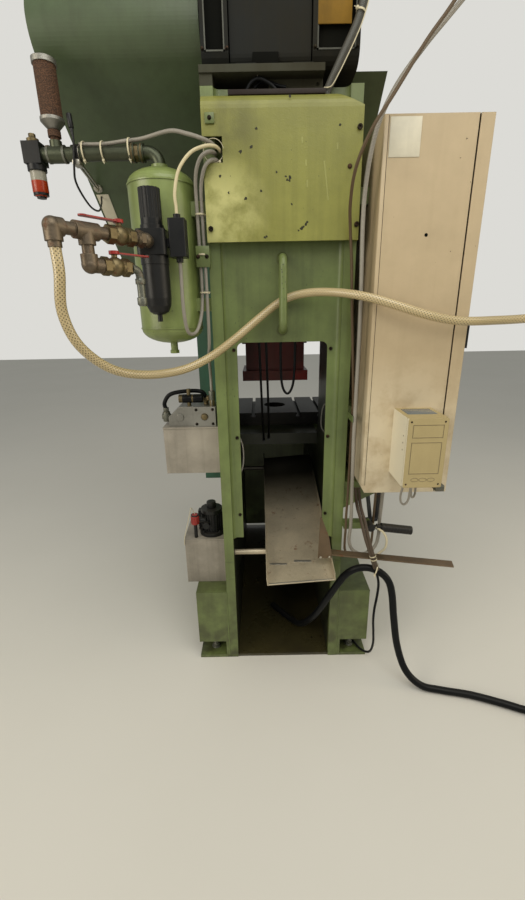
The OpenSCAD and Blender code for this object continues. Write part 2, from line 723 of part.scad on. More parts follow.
// Wedge plate that stands on the chute, and the flat bar bolted to it
wedge_y = chute_y + 70;
wedge_right = chute_x + (chute_w / 2 - chute_t) * cos(chute_lean) - chute_h * sin(chute_lean) - seat;
bar_z = chute_z + 78;
bar_w = 40;
bar_angle = -12;
module chute_bar() color("#6a4632") {
    along_y(wedge_y, 6) polygon([[wedge_right - 56, bar_z - 10], [wedge_right, bar_z - 10],
        [wedge_right, bar_z + 10], [wedge_right - 12, bar_z + 86], [wedge_right - 44, bar_z + 176],
        [wedge_right - 50, bar_z + 176]]);
    translate([wedge_right, wedge_y, bar_z]) linear_extrude(5) {
        translate([-14, 4]) square([20, 32]);
        translate([0, 22]) rotate(bar_angle) translate([0, -bar_w / 2]) square([478, bar_w]);
    }
    for (x = [-46, -10]) rod_y([wedge_right + x, wedge_y - 7, bar_z - 2], 8, 6, $fn = 6);
}

// Cabinet
module cabinet_corner(w, h) along_y(cab_y - 1, cabinet_d + 2)
    polygon([[cab_x - 1, cabinet_low - 1], [cab_x + w, cabinet_low - 1], [cab_x - 1, cabinet_low + h]]);
module cabinet_body() color("#c9b99a") {
    difference() {
        block([cab_x, cab_y, cabinet_low], [cab_x1, cab_y1, cab_z1]);
        difference() {
            block([cab_x + cabinet_t, cab_y + cabinet_t, cabinet_low + cabinet_t],
                [cab_x1 - cabinet_t, cab_y1 - cabinet_t, cab_z1 - cabinet_t]);
            cabinet_corner(20, 36);
        }
        cabinet_corner(14, 28);
        block([cab_x1 - cabinet_t - 1, cab_y + 24, cabinet_low + 24],
            [cab_x1 + 1, cab_y1 - 24, cab_z1 - 24]);
        for (x = gland_x) rod_z([x, gland_y, cabinet_low - 1], cabinet_t + 2, gland_r + seat);
    }
    for (z = hinge_z) {
        rod_z([hinge_x, hinge_y, z - hinge_h], hinge_h, hinge_r);
        rod_z([hinge_x, hinge_y, z], hinge_h, hinge_pin);
        block([cab_x1 - 12, cab_y1, z - hinge_h], [cab_x1 - 1, hinge_y + 4, z]);
    }
}

door_x = cab_x1 + door_gap;
module cabinet_door() color("#c9b99a") {
    difference() {
        block([door_x, cab_y, cabinet_low], [door_x + door_t, cab_y1, cab_z1]);
        block([door_x - 1, cab_y + cabinet_t, cabinet_low + cabinet_t],
            [door_x + door_t - cabinet_t, cab_y1 - cabinet_t, cab_z1 - cabinet_t]);
        rod_x([door_x, latch_y, latch_z], door_t + 1, 11 + run_gap);
    }
    for (z = hinge_z) difference() {
        union() {
            rod_z([hinge_x, hinge_y, z + seat], hinge_h, hinge_r);
            block([hinge_x + 2, cab_y1 - 1, z + seat], [hinge_x + hinge_r, hinge_y, z + seat + hinge_h]);
        }
        rod_z([hinge_x, hinge_y, z], hinge_h + 2, hinge_pin + run_gap);
    }
}

module door_latch() color("#2b2b2d") {
    rod_x([door_x + 2, latch_y, latch_z], door_t + 14, 11);
    block([door_x + door_t + 8, latch_y - 12, latch_z - 70],
        [door_x + door_t + 24, latch_y + 12, latch_z + 20]);
    block([door_x + 3, latch_y - 9, latch_z - 34], [door_x + 6, latch_y + 9, latch_z + 12]);
}

gusset_h = 118;
module cabinet_brackets() color("#3f6b45") {
    for (y = [rear_y + 10, cab_y1 - 60]) along_y(y, 10)
        polygon([[side_x, cabinet_low - 8], [side_x + 190, cabinet_low - 8],
            [side_x + 190, cabinet_low - 22], [side_x, cabinet_low - gusset_h]]);
    block([side_x, rear_y + 10, cabinet_low - 8], [cab_x1 - 40, cab_y1 - 50, cabinet_low]);
    for (z = [cab_z1 - 200, cabinet_low + 260])
        block([side_x, rear_y + 40, z], [cab_x, cab_y1 - 80, z + 50]);
    block([side_x, rear_y - 78, tab_z - 12], [side_x + tab_t, rear_y + 60, tab_z + 12]);
    block([side_x, lever_y + 4, lever_z - 14], [lever_x - 20, lever_y + 44, lever_z + 14]);
    rod_y([lever_x, lever_y + 20 + seat, lever_z], 24, 13);
    block([lever_x - 24, lever_y + 24, lever_z - 10], [lever_x, lever_y + 44, lever_z + 10]);
}

plate_in = 16;
module mounting_plate() color("#b9bcc0") {
    px = cab_x + cabinet_t + plate_in;
    block([px, cab_y + 40, cabinet_low + 60], [px + 3, cab_y1 - 40, cab_z1 - 60]);
    for (z = [cabinet_low + 90, cab_z1 - 90]) for (y = [cab_y + 70, cab_y1 - 70])
        rod_x([cab_x + cabinet_t, y, z], plate_in, 6);
    for (row = [0 : 3]) for (k = [0 : 5])
        block([px + 3, cab_y + 80 + 72 * k, cabinet_low + 180 + 230 * row],
            [px + 3 + 70 - 12 * (row % 2), cab_y + 80 + 72 * k + 54, cabinet_low + 180 + 230 * row + 96]);
}

lid_t = 12;
module interface_box() color("#cdbd96") {
    translate([box_x, 0, box_z]) {
        block([0, cab_y - box_d + lid_t + 1, 0], [box_w, cab_y, box_h]);
        difference() {
            along_y(cab_y - box_d, lid_t) translate([box_w / 2, box_h / 2]) polygon(rounded(box_w, box_h,
                5, 3));
            for (x = [11, box_w - 11]) for (z = [12, box_h - 12]) rod_y([x, cab_y - box_d - 1, z], 5, 3.5);
        }
        block([3, cab_y - box_d + lid_t, 3], [box_w - 3, cab_y - box_d + lid_t + 1, box_h - 3]);
        for (x = [34, 62]) rod_z([x, cab_y - 70, -12], 12, 9);
    }
}

// Air receiver, header and their fittings
dome_h = 52;
receiver_r = receiver_dia / 2;
module air_receiver() color("#86995a") translate([receiver_x, receiver_y, receiver_z]) {
    rotate_extrude() polygon(concat([[0, 0]],
        [for (i = [1 : 8]) [receiver_r * sin(90 * i / 8), dome_h - dome_h * cos(90 * i / 8)]],
        [for (i = [8 : -1 : 1]) [receiver_r * sin(90 * i / 8),
            receiver_h - dome_h + dome_h * cos(90 * i / 8)]],
        [[0, receiver_h]]));
    for (z = [dome_h, receiver_h - dome_h - 4]) cylinder_ring(z, receiver_r + 2.5, 5);
    translate([0, 0, receiver_h - 4]) cylinder(h = 14, r = 27);
    translate([0, 0, -30]) cylinder(h = 34, r = 13);
    translate([0, 0, -38]) cylinder(h = 12, r = 17, $fn = 6);
    for (z = [110, receiver_h - 150]) intersection() {
        difference() {
            block([0, -45, z], [-side_x - receiver_x, 45, z + 44]);
            translate([0, 0, z - 1]) cylinder(h = 46, r = receiver_r - 2);
        }
        block([0, -60, z], [400, 60, z + 44]);
    }
}
module cylinder_ring(z, r, h) translate([0, 0, z]) cylinder(h = h, r = r);

header_r = header_dia / 2;
module header_pipe() color("#7c7a70") translate([0, receiver_y, 0]) {
    rod_z([receiver_x, 0, receiver_z + receiver_h + 10],
        header_z - header_bend - receiver_z - receiver_h - 10, header_r);
    translate([receiver_x - header_bend, 0, header_z - header_bend]) rotate([90, 0, 0])
        rotate_extrude(angle = 90) translate([header_bend, 0]) circle(header_r);
    rod_x([header_end, 0, header_z], receiver_x - header_bend - header_end, header_r);
    for (x = [receiver_x - 62, receiver_x - 92]) rod_x([x, 0, header_z], 16, header_r + 6);
    rod_x([receiver_x - 84, 0, header_z], 24, header_r + 4, $fn = 6);
    rod_x([silencer_x - 28, 0, header_z], 56, header_r + 4);
    rod_x([silencer_x + 52, 0, header_z], 9, header_r + 5);
    rod_z([silencer_x, 0, header_z], header_r + 16, 19);
}

silencer_z = header_z + header_r + 16;
silencer_h = 214;
module silencer() color("#5b4231") translate([silencer_x, receiver_y, silencer_z]) {
    cylinder(h = 34, r = 15);
    translate([0, 0, 10]) cylinder(h = 18, r = 20);
    translate([0, 0, 34]) cylinder(h = 18, r1 = 20, r2 = silencer_dia / 2);
    translate([0, 0, 52]) cylinder(h = silencer_h - 64, r = silencer_dia / 2 - 2);
    translate([0, 0, 52]) cylinder(h = 8, r = silencer_dia / 2 + 1);
    translate([0, 0, silencer_h - 14]) cylinder(h = 14, r = silencer_dia / 2 + 1);
}

lub_w = 56;
lub_x = header_end - lub_w / 2;
module lubricator() color("#26282b") translate([lub_x, receiver_y, header_z]) {
    block([-lub_w / 2, -lub_w / 2, -30], [lub_w / 2, lub_w / 2, 32]);
    translate([0, 0, 32]) cylinder(h = 12, r = 18);
    translate([0, 0, 44]) cylinder(h = 14, r = 10, $fn = 6);
    translate([0, 0, -48]) cylinder(h = 18, r = 29);
    translate([0, 0, -118]) cylinder(h = 72, r = 24);
    translate([0, 0, -126]) cylinder(h = 10, r = 15);
}

module air_regulator() color("#232527") translate([frl_x, frl_y, frl_z]) {
    translate([0, 0, -frl_h / 2]) linear_extrude(frl_h) polygon(rounded(frl_s, frl_s, 14));
    translate([0, 0, frl_h / 2]) cylinder(h = 14, r = 36);
    block([frl_s / 2, -12, -12], [frl_s / 2 + 8, 12, 12]);
    block([-18, frl_s / 2, -14], [18, receiver_y - frl_y - receiver_r - seat, 14]);
}

knob_low = frl_h / 2 + 14 + seat;
module regulator_knob() color("#1d1e20") translate([frl_x, frl_y, frl_z + knob_low]) difference() {
    cylinder(h = 100, r = 33);
    for (i = [0 : 15]) rotate(22.5 * i) translate([34, 0, 18]) cylinder(h = 90, r = 3);
}

bowl_top = frl_z - frl_h / 2;
bowl_h = 176;
module filter_bowl() color("#202224") translate([frl_x, frl_y, bowl_top - bowl_h]) {
    rotate_extrude() polygon(concat([[0, 0]], [[16, 0], [30, 8], [bowl_dia / 2 - 3, 26], [bowl_dia / 2, 50],
        [bowl_dia / 2, bowl_h - 26], [bowl_dia / 2 + 2, bowl_h - 26], [bowl_dia / 2 + 2, bowl_h],
        [0, bowl_h]]));
    translate([0, 0, -22]) cylinder(h = 23, r = 8);
}

switch_x = frl_x + frl_s / 2 + 8;
module pressure_switch() color("#1f2123") {
    translate([switch_x + 26, frl_y, frl_z + 12]) {
        translate([0, 0, -54]) linear_extrude(108) polygon(rounded(52, 56, 5, 3));
        translate([0, 0, 54]) cylinder(h = 14, r = 11);
        translate([0, 0, -68]) cylinder(h = 14, r = 11);
    }
}

// Inlet line: along() places a piece at a distance from the regulator, turned to the line
module along(s) turned(run_start + s * run_dir, run_angle) rotate([0, 90, 0]) children();
inlet_r = inlet_dia / 2;
valve_l = 86;
port_at = 28;
joint_r = inlet_r + 5.6;
module inlet_pipework() color("#6f6257") {
    port = run_start + port_at * run_dir;
    rod_y(port, frl_y - frl_s / 2 - seat - port[1], inlet_r + 2);
    translate(port) sphere(r = inlet_r + 3);
    along(port_at) cylinder(h = valve_at - valve_l / 2 - port_at - seat, r = inlet_r);
    along(port_at + 12) cylinder(h = 16, r = inlet_r + 7, $fn = 6);
    along(port_at + 28) cylinder(h = 10, r = inlet_r + 4);
    along(valve_at + valve_l / 2 + seat) cylinder(h = tee_at - valve_at - valve_l / 2 - seat,
        r = inlet_r - 1);
    along(tee_at - 34) cylinder(h = 68, r = inlet_r + 5);
    along(tee_at + 30) cylinder(h = elbow_at - tee_at - 30, r = inlet_r - 1);
    along(elbow_at - 26) cylinder(h = 26, r = inlet_r + 5);
    translate(run_start + elbow_at * run_dir) {
        sphere(r = joint_r);
        translate([0, 0, -34]) cylinder(h = 34, r = inlet_r + 5);
        translate([0, 0, -48]) cylinder(h = 16, r = inlet_r);
    }
    translate(run_start + tee_at * run_dir) {
        translate([0, 0, branch_z - frl_z]) cylinder(h = frl_z - branch_z, r = inlet_r - 1);
        translate([0, 0, -34]) cylinder(h = 34, r = inlet_r + 5);
        translate([0, 0, branch_z - frl_z]) sphere(r = joint_r);
        translate([0, 0, branch_z - frl_z]) cylinder(h = 26, r = inlet_r + 5);
    }
    turned(run_start + tee_at * run_dir + [0, 0, branch_z - frl_z], run_angle + 180) rotate([0, 90, 0])
        cylinder(h = branch_valve_at - valve_l / 2 - seat, r = inlet_r + 3);
}

module ball_valve() {
    translate([0, 0, -valve_l / 2]) cylinder(h = valve_l, r = inlet_r + 4);
    translate([0, 0, -valve_l / 2]) cylinder(h = 20, r = inlet_r + 8, $fn = 6);
    translate([0, 0, valve_l / 2 - 20]) cylinder(h = 20, r = inlet_r + 8, $fn = 6);
    sphere(r = inlet_r + 9);
    rotate([0, -90, 0]) cylinder(h = lever_lift - 2, r = 8);
}
branch_start = run_start + tee_at * run_dir + [0, 0, branch_z - frl_z];
module ball_valves() color("#8f7a4e") {
    along(valve_at) ball_valve();
    turned(branch_start - branch_valve_at * run_dir, run_angle + 180) rotate([0, 90, 0]) {
        ball_valve();
        translate([0, 0, valve_l / 2]) cylinder(h = 12, r = inlet_r);
        translate([0, 0, valve_l / 2 + 12]) cylinder(h = 8, r = 12, $fn = 6);
    }
}

lever_l = 108;
module valve_lever() color("#b3261f") {
    translate([0, 0, lever_lift - 1.7]) cylinder(h = 9, r = 14);
    block([0, -9, lever_lift], [lever_l, 9, lever_lift + 4]);
    translate([lever_l, 0, lever_lift]) cylinder(h = 4, r = 11);
}
module upper_valve_lever() turned(run_start + valve_at * run_dir, run_angle) valve_lever();
module lower_valve_lever() turned(branch_start - branch_valve_at * run_dir, run_angle + 180) valve_lever();

// Oil units
// An open tank with its lid gasket, from its right rear lower corner
module tank(x1, y0, z0, w, h) {
    difference() {
        block([x1 - w, y0, z0], [x1, y0 + tank_d, z0 + h]);
        translate([x1 - w / 2, y0 + tank_d / 2, z0 + h - 30]) linear_extrude(31)
            polygon(rounded(w - 6, tank_d - 6, 8));
    }
    translate([x1 - w / 2, y0 + tank_d / 2, z0 + h]) linear_extrude(gasket_t)
        polygon(rounded(w + 4, tank_d + 6, 6, 3));
}
module oil_tanks() color("#9a9c98") {
    tank(tank_x1, tank_y, upper_tank_z, upper_tank_w, upper_tank_h);
    block([tank_x1, tank_y + 20, upper_tank_z + 20], [-side_x, tank_y + tank_d - 20,
        upper_tank_z + upper_tank_h - 20]);
    tank(tank_x1, lower_tank_y, rear_foot_h, lower_tank_w, lower_tank_h);
}

manifold_z = upper_tank_z + upper_tank_h + gasket_t;
manifold_h = 84;
manifold_x = tank_x1 - 14;
module manifold_block() color("#8a8880") {
    along_y(tank_y + 12, 110) polygon([[manifold_x - 196, manifold_z], [manifold_x - 92, manifold_z],
        [manifold_x - 92, manifold_z + manifold_h], [manifold_x - 150, manifold_z + manifold_h],
        [manifold_x - 196, manifold_z + 40]]);
    difference() {
        block([manifold_x - 91, tank_y + 4, manifold_z],
            [manifold_x, tank_y + 110, manifold_z + manifold_h]);
        for (x = [12, 79]) for (z = [12, manifold_h - 12])
            rod_y([manifold_x - 91 + x, tank_y, manifold_z + z], 12, 6);
        rod_y([manifold_x - 45.5, tank_y, manifold_z + manifold_h / 2], 7, 15);
    }
}

function hose_loop() = smooth([[manifold_x - 214, tank_y + 60, manifold_z + 66],
    [manifold_x - 218, tank_y + 60, manifold_z + 92], [manifold_x - 190, tank_y + 60, manifold_z + 128],
    [manifold_x - 120, tank_y + 62, manifold_z + 140], [manifold_x - 60, tank_y + 64, manifold_z + 136],
    [manifold_x - 44, tank_y + 64, manifold_z + 112]], 3);
module manifold_fittings() color("#7a6440") {
    rod_x([manifold_x - 214, tank_y + 60, manifold_z + 34], 18, 9);
    translate([manifold_x - 214, tank_y + 60, manifold_z + 14]) cylinder(h = 40, r = 15);
    translate([manifold_x - 214, tank_y + 60, manifold_z + 54]) cylinder(h = 12, r = 10);
    translate([manifold_x - 44, tank_y + 64, manifold_z + manifold_h]) cylinder(h = 28, r = 11);
    translate([manifold_x - 110, tank_y + 34, manifold_z + manifold_h]) cylinder(h = 70, r = 8);
    rod_x([manifold_x - 150, tank_y + 34, manifold_z + manifold_h + 30], 60, 17);
    translate([manifold_x - 14, tank_y + 30, manifold_z + manifold_h]) cylinder(h = 60, r = 13);
    color("#1c1d1f") tube(hose_loop(), 8);
    translate([manifold_x - 45.5, tank_y + 7 - seat, manifold_z + manifold_h / 2]) rotate([90, 0, 0])
        cylinder(h = 8, r = 12, $fn = 6);
}

pump_z = rear_foot_h + lower_tank_h + gasket_t;
pump_x = tank_x1 - 62;
pump_y = lower_tank_y + 70;
module pump_unit() color("#1b1c1f") {
    translate([pump_x, pump_y, pump_z]) {
        cylinder(h = 16, r = 58);
        translate([0, 0, 16]) cylinder(h = 92, r = 42);
        for (i = [0 : 11]) rotate(30 * i) block([38, -2, 22], [50, 2, 100]);
        translate([0, 0, 108]) cylinder(h = 16, r = 48);
        translate([0, 0, 124]) cylinder(h = 30, r = 20);
        rod_x([-86, -30, 76], 60, 13);
        rod_y([-20, -62, 60], 40, 15);
        block([-66, 20, 0], [-46, 54, 96]);
    }
    color("#a8231e") translate([pump_x - 70, pump_y - 50, pump_z]) {
        cylinder(h = 70, r = 8);
        translate([0, 0, 70]) cylinder(h = 44, r = 17);
    }
}

grip_l = 128;
grip_r = 18;
grip_droop = 8;
module hand_lever() color("#1a1a1c") {
    rod_y([lever_x, lever_y - 20, lever_z], 40, 16);
    translate([lever_x, lever_y, lever_z]) rotate([0, grip_droop, 0]) {
        rod_x([10, 0, 0], 42, 7);
        rod_x([26, 0, 0], 20, 12);
        difference() {
            rod_x([46, 0, 0], grip_l, grip_r);
            for (i = [1 : 9]) translate([46 + grip_l * i / 10, 0, 0]) rotate([0, 90, 0])
                rotate_extrude() translate([grip_r + 1, 0]) circle(2, $fn = 12);
        }
    }
}

// Cables that the press holds over their whole length. Routes near the left and the right column count
// from the rear edge of that side plate.
left_x = -side_x;
held_r = 6;
switch_at = [switch_x + 26, frl_y, frl_z + 12] - [left_x, rear_y, 0];
header_at = [0, receiver_y - rear_y, header_z + header_r + held_r + seat];
union_at = [manifold_x - 14 - left_x, tank_y + 30 - rear_y, manifold_z + manifold_h + 60 + seat];
function at_left(p) = [for (q = p) q + [left_x, rear_y, 0]];
function at_right(p) = [for (q = p) q + [side_x, rear_y, 0]];
held_routes = [
    at_left([[40, -6, 2048], [34, -28, 2050], [18, -46, 2054], [-6, -54, 2060], [-40, -46, 2072],
        header_at + [-100, -65, 9.7], header_at + [-200, -10, 9.7], header_at + [-262, -4, 5.7],
        header_at + [-330, 0, 0], header_at + [-410, 0, 0]]),
    at_left([[40, -6, 2030], [34, -28, 2029], [20, -46, 2024], [0, -54, 2010], [-16, -48, 1984],
        [-25, -32, 1950], [-28, -16, 1900], [-28, -12, 1800], [-28, -12, 1600], [-46, -40, 1500],
        [-72, -84, 1490], [switch_at[0], switch_at[1], 1560], switch_at - [0, 0, 92],
        switch_at - [0, 0, 68 + seat]]),
    at_left([[46, -6, 2010], [40, -26, 2009], [26, -40, 2003], [10, -46, 1988], [-2, -40, 1962],
        [-10, -25, 1930], [-12, -12, 1880], [-12, -12, 1800], [-12, -12, 1480], [-24, 48, 1400],
        [union_at[0], union_at[1], 1310], [union_at[0], union_at[1], 1270], union_at])];
cream_route = at_left([[56, -10, 2036], [52, -34, 2036], [40, -64, 2034], [12, -86, 2026], [-28, -98, 2006],
    [-64, -108, 1960], switch_at + [0, -4, 126], switch_at + [0, 0, 88], switch_at + [0, 0, 68 + seat]]);
module held_cables() color("#8b8880") {
    for (p = held_routes) tube(smooth(p, 3), held_r);
    color("#cfc39a") tube(smooth(cream_route, 4), 5);
}

// A route of smooth points, with straight ends that square the tube's faces
function led(a, route, b) = concat([a], smooth(route), [b]);

// Braided air hose, from the coupling under the inlet elbow, behind the handle and off to the right
hose_start = run_start + elbow_at * run_dir - [0, 0, 48];
hose_end = [578, -145, 1518] + [side_x, rear_y, 0];
air_route = led(hose_start - [0, 0, seat], concat([hose_start - [0, 0, 12], hose_start - [0, 0, 60]],
    at_left([[-352, -390, 1560], [-332, -360, 1470], [-278, -280, 1395], [-198, -200, 1366],
        [-98, -130, 1370], [-8, -86, 1405], [82, -60, 1465], [172, -26, 1535]]),
    [[0, rear_y - 12, 1590]],
    at_right([[-172, -18, 1612], [-82, -50, 1612], [8, -110, 1596], [108, -140, 1566], [208, -145, 1535],
        [318, -145, 1514], [448, -145, 1514], [548, -145, 1518]])), hose_end);
module air_hose() color("#c8bb95") tube(air_route, air_hose_dia / 2);
module air_hose_coupling() color("#6d6f72") {
    rod_x(hose_end + [seat, 0, 0], 36, 19);
    rod_x(hose_end + [36, 0, 0], 16, 24, $fn = 6);
    rod_x(hose_end + [52, 0, 0], 22, 16);
}

// Black hose, from inside the legs, hung under the flat bar, down to the floor and off to the right
black_r = black_hose_dia / 2;
floor_z = 16;
coil_c = [side_x + 878, rear_y - 520];
coil_r = 165;
black_start = [-292, 330, base_t + black_r + 1.3];
black_end = [coil_c[0], coil_c[1] + coil_r + black_r, floor_z];
black_route = led(black_start + [side_x, rear_y, 0],
    at_right([[-272, 304, black_start[2]], [-192, 200, 34], [-152, 100, 100], [-102, 10, 230],
        [-50, -38, 370], [-16, -54, 446], [10, -62, 492], [46, -72, 526], [93, -81, 538],
        [140, -92, 526], [178, -102, 490],
        [197, -110, 430], [212, -120, 310], [232, -138, 180], [268, -166, 76], [328, -196, 24],
        [408, -215, floor_z], [518, -240, floor_z], [628, -280, floor_z], [708, -314, floor_z],
        [788, -334, floor_z], [858, -340, floor_z]]), black_end);
module black_hose() color("#1b1b1d") tube(black_route, black_r);

// Two turns side by side on the floor, and the connector at their inner end
coil_open = 60;
module black_hose_coil() color("#1b1b1d") translate([coil_c[0], coil_c[1], floor_z])
    rotate([0, 0, 90 + coil_open]) rotate_extrude(angle = 360 - coil_open)
        translate([coil_r, 0]) polygon(rounded(4 * black_r, 2 * black_r, black_r - 0.1));
connector_r = 107;
connector_at = 200;
module black_hose_connector() color("#a98f4f") translate([coil_c[0], coil_c[1], 18.3]) rotate(connector_at)
    translate([connector_r, 0, 0]) rotate([90, 0, 0]) {
    cylinder(h = 34, r = 16);
    translate([0, 0, 34]) cylinder(h = 16, r = 18, $fn = 6);
}

// Supply conduit, from the ceiling fitting down the column, behind the flat bar and up into the cabinet
conduit_r = 7;
tab_t = 3;
tab_z = 1172;
conduit_at = tab_t + seat + conduit_r;
ceiling_z = 2400;
conduit_top = [side_x + 248, rear_y - 140, ceiling_z];
cable_top = [side_x + 228, rear_y - 182, ceiling_z];
gland_z = cabinet_low - seat;
conduit_end = [gland_x[1], gland_y, gland_z];
conduit_route = led(conduit_top, concat([conduit_top - [0, 0, 20]],
    at_right([[244, -140, 2361], [234, -140, 2344], [218, -139, 2326], [182, -139, 2288], [128, -138, 2230],
        [64, -137, 2150], [22, -132, 2070], [4, -115, 1990], [-2, -94, 1900], [0, -78, 1800], [7, -70, 1640],
        [10, -70, 1480], [conduit_at, -70, 1240], [conduit_at, -70, tab_z], [conduit_at, -70, 1100],
        [13, -70, 980], [19, -56, 850], [24, -44, 760], [25, -38, 700], [23, -33, 650], [32, -29, 606],
        [56, -26, 578], [88, -24, 568], [120, -20, 578], [144, -12, 606], [154, -5, 650], [155, -1, 710],
        [156, -5, 800]]), [conduit_end - [0, 0, 30.7]]), conduit_end);
module supply_conduit() color("#8f8d86") tube(conduit_route, conduit_r);

// Supply cable, beside the conduit all the way
supply_r = 5;
cable_at = tab_t + seat + supply_r;
cable_end = [gland_x[0], gland_y, gland_z];
cable_route = led(cable_top, concat([cable_top - [0, 0, 18]],
    at_right([[225, -182, 2364], [216, -182, 2348], [200, -181, 2326], [166, -179, 2280], [118, -176, 2220],
        [44, -173, 2110], [-9, -168, 2033], [-42, -135, 1950], [-44, -86, 1870], [-34, -54, 1800],
        [-22, -42, 1700], [-12, -38, 1550], [0, -37, 1380], [cable_at, -37, 1240], [cable_at, -37, tab_z],
        [cable_at, -37, 1100], [8, -37, 980], [7, -38, 850], [5, -38, 760], [6, -37, 700], [6, -32, 640],
        [10, -25, 590], [28, -18, 560], [66, -11, 545], [104, -8, 560], [122, -6, 592], [128, -3, 650],
        [128, -2, 740], [127, -10, 820]]), [cable_end - [0, 0, 26.7]]), cable_end);
module supply_cable() color("#6b4a36") tube(cable_route, supply_r);

module ceiling_fitting() color("#6d6f72") {
    block([cable_top[0] - 30, cable_top[1] - 30, ceiling_z + 30],
        [conduit_top[0] + 30, conduit_top[1] + 30, ceiling_z + 36]);
    for (p = [conduit_top, cable_top]) rod_z(p + [0, 0, seat], 30, 13);
}

side_plate_left();
side_plate_right();
rear_wall();
base_plate();
feet();
bed();
bolster_plate();
crown_top_plate();
crown_front_cover();
motor_base();
rear_cover();
flywheel_guard();
crank_wing_cover();
side_guards();
ram_gibs();
crank_bushes();
crankshaft();
clutch_disc();
connecting_rod();
ram();
flywheel();
motor();
motor_pulley();
drive_belts();
rear_handle();
frame_screws();
chute();
chute_bar();
cabinet_body();
cabinet_door();
door_latch();
cabinet_brackets();
mounting_plate();
interface_box();
air_receiver();
header_pipe();
silencer();
lubricator();
air_regulator();
regulator_knob();
filter_bowl();
pressure_switch();
inlet_pipework();
ball_valves();
upper_valve_lever();
lower_valve_lever();
oil_tanks();
manifold_block();
manifold_fittings();
pump_unit();
hand_lever();
held_cables();
air_hose();
air_hose_coupling();
black_hose();
black_hose_coil();
black_hose_connector();
supply_conduit();
supply_cable();
ceiling_fitting();
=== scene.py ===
"""Looks of an open-back stamping press, seen in use from its rear side."""

import json
import math
import random

import bmesh
import bpy
from bpy.props import FloatProperty, FloatVectorProperty, IntProperty, PointerProperty
from mathutils import Matrix, Vector


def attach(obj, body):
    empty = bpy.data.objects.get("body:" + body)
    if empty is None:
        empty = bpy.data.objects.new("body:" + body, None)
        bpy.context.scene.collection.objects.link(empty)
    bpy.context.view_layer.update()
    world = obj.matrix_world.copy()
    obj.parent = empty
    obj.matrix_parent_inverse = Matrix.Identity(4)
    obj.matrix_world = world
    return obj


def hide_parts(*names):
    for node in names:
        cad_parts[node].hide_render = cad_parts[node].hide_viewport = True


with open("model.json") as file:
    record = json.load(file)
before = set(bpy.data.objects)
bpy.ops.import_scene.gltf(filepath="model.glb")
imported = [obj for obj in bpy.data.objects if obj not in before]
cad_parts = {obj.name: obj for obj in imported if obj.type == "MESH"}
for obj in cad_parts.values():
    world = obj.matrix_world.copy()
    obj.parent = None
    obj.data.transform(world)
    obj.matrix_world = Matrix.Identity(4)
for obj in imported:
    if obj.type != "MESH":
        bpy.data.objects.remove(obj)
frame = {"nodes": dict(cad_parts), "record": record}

bl_info = {
    "name": "Stamping press looks",
    "version": (1, 0, 0),
    "blender": (4, 5, 0),
    "location": "3D View > Sidebar > Press",
    "description": "Materials, hoses, fittings and stage of an open-back stamping press",
    "category": "Object",
}

UP = Vector((0, 0, 1))
RIGHT = Vector((1, 0, 0))
REAR = Vector((0, -1, 0))

# Angles in degrees from which an edge looks sharp, on cut pieces and on tubes
CUT_EDGE, TUBE_EDGE = 38, 60


# Colours and sizes

def linear(code):
    """Turn a colour code such as #8fa055 into the linear values that nodes take."""
    parts = [int(code[i:i + 2], 16) / 255 for i in (1, 3, 5)]
    return tuple(c / 12.92 if c < 0.04045 else ((c + 0.055) / 1.055) ** 2.4 for c in parts)


def colour(name, code):
    """A colour property."""
    return FloatVectorProperty(name=name, description=f"Colour: {name.lower()}", default=linear(code),
                               subtype="COLOR", min=0, max=1)


def length(name, value, text):
    """A length property in metres."""
    return FloatProperty(name=name, description=text, default=value, min=0.0005, subtype="DISTANCE",
                         unit="LENGTH")


class PressColours(bpy.types.PropertyGroup):
    """Base colours of the press."""

    frame: colour("Frame paint", "#6c7a45")
    frame_chip: colour("Paint below the frame paint", "#39402a")
    # Rear cover: the frame's paint, made paler and yellower as painted light
    cover: colour("Rear cover", "#8b8b45")
    # Guards: darker than the frame paint, partly a darker green paint and partly painted shade
    guard: colour("Guards", "#475639")
    # Side guards: darker and bluer than the frame paint, as painted shade
    side: colour("Side guards", "#33604c")
    ram: colour("Ram", "#6e1c13")
    cabinet: colour("Cabinet", "#b9a686")
    box: colour("Interface box", "#ab9a6e")
    receiver: colour("Air receiver", "#7f8d51")
    motor: colour("Motor", "#1f201e")
    oil: colour("Oily dirt", "#2a2516")
    rust: colour("Rust", "#6b3f22")
    steel: colour("Bare steel", "#8f8b84")
    brass: colour("Brass", "#7f7153")
    tank: colour("Oil tanks", "#a1998c")
    black: colour("Black plastic", "#101113")
    red: colour("Red paint", "#a8231e")
    braid: colour("Hose braid", "#beab82")
    plate: colour("Blank plates", "#d6cfba")
    # The dark inside: oily dirt and painted shade between the side plates, and painted shade deep in the
    # chute
    inside: colour("Dark inside of the frame", "#14150f")


class PressSizes(bpy.types.PropertyGroup):
    """Sizes of the pieces that this file adds."""

    air_hose: length("Air hose", 0.028, "Outer diameter of the braided air hose")
    black_hose: length("Black hose", 0.030, "Outer diameter of the black hose")
    conduit: length("Supply conduit", 0.014, "Outer diameter of the supply conduit")
    cable: length("Supply cable", 0.010, "Outer diameter of the supply cable")
    held: length("Held cables", 0.012, "Diameter of the cables that the press holds")
    strap: length("Cable tie", 0.005, "Width of a cable tie")
    anchor: length("Anchor stud", 0.020, "Diameter of the anchor studs")
    bead: length("Weld bead", 0.006, "Width of a weld bead")
    wire: length("Loose wires", 0.007, "Diameter of the short wires between fittings")
    sides: IntProperty(name="Tube sides", description="Sides of a round tube", default=16, min=6, max=48)


# Edges of the dark inside of the frame, where oily dirt and painted shade go, in metres
INNER_X = 0.2125
WALL_Y = -0.604
APRON_Y = 0.596
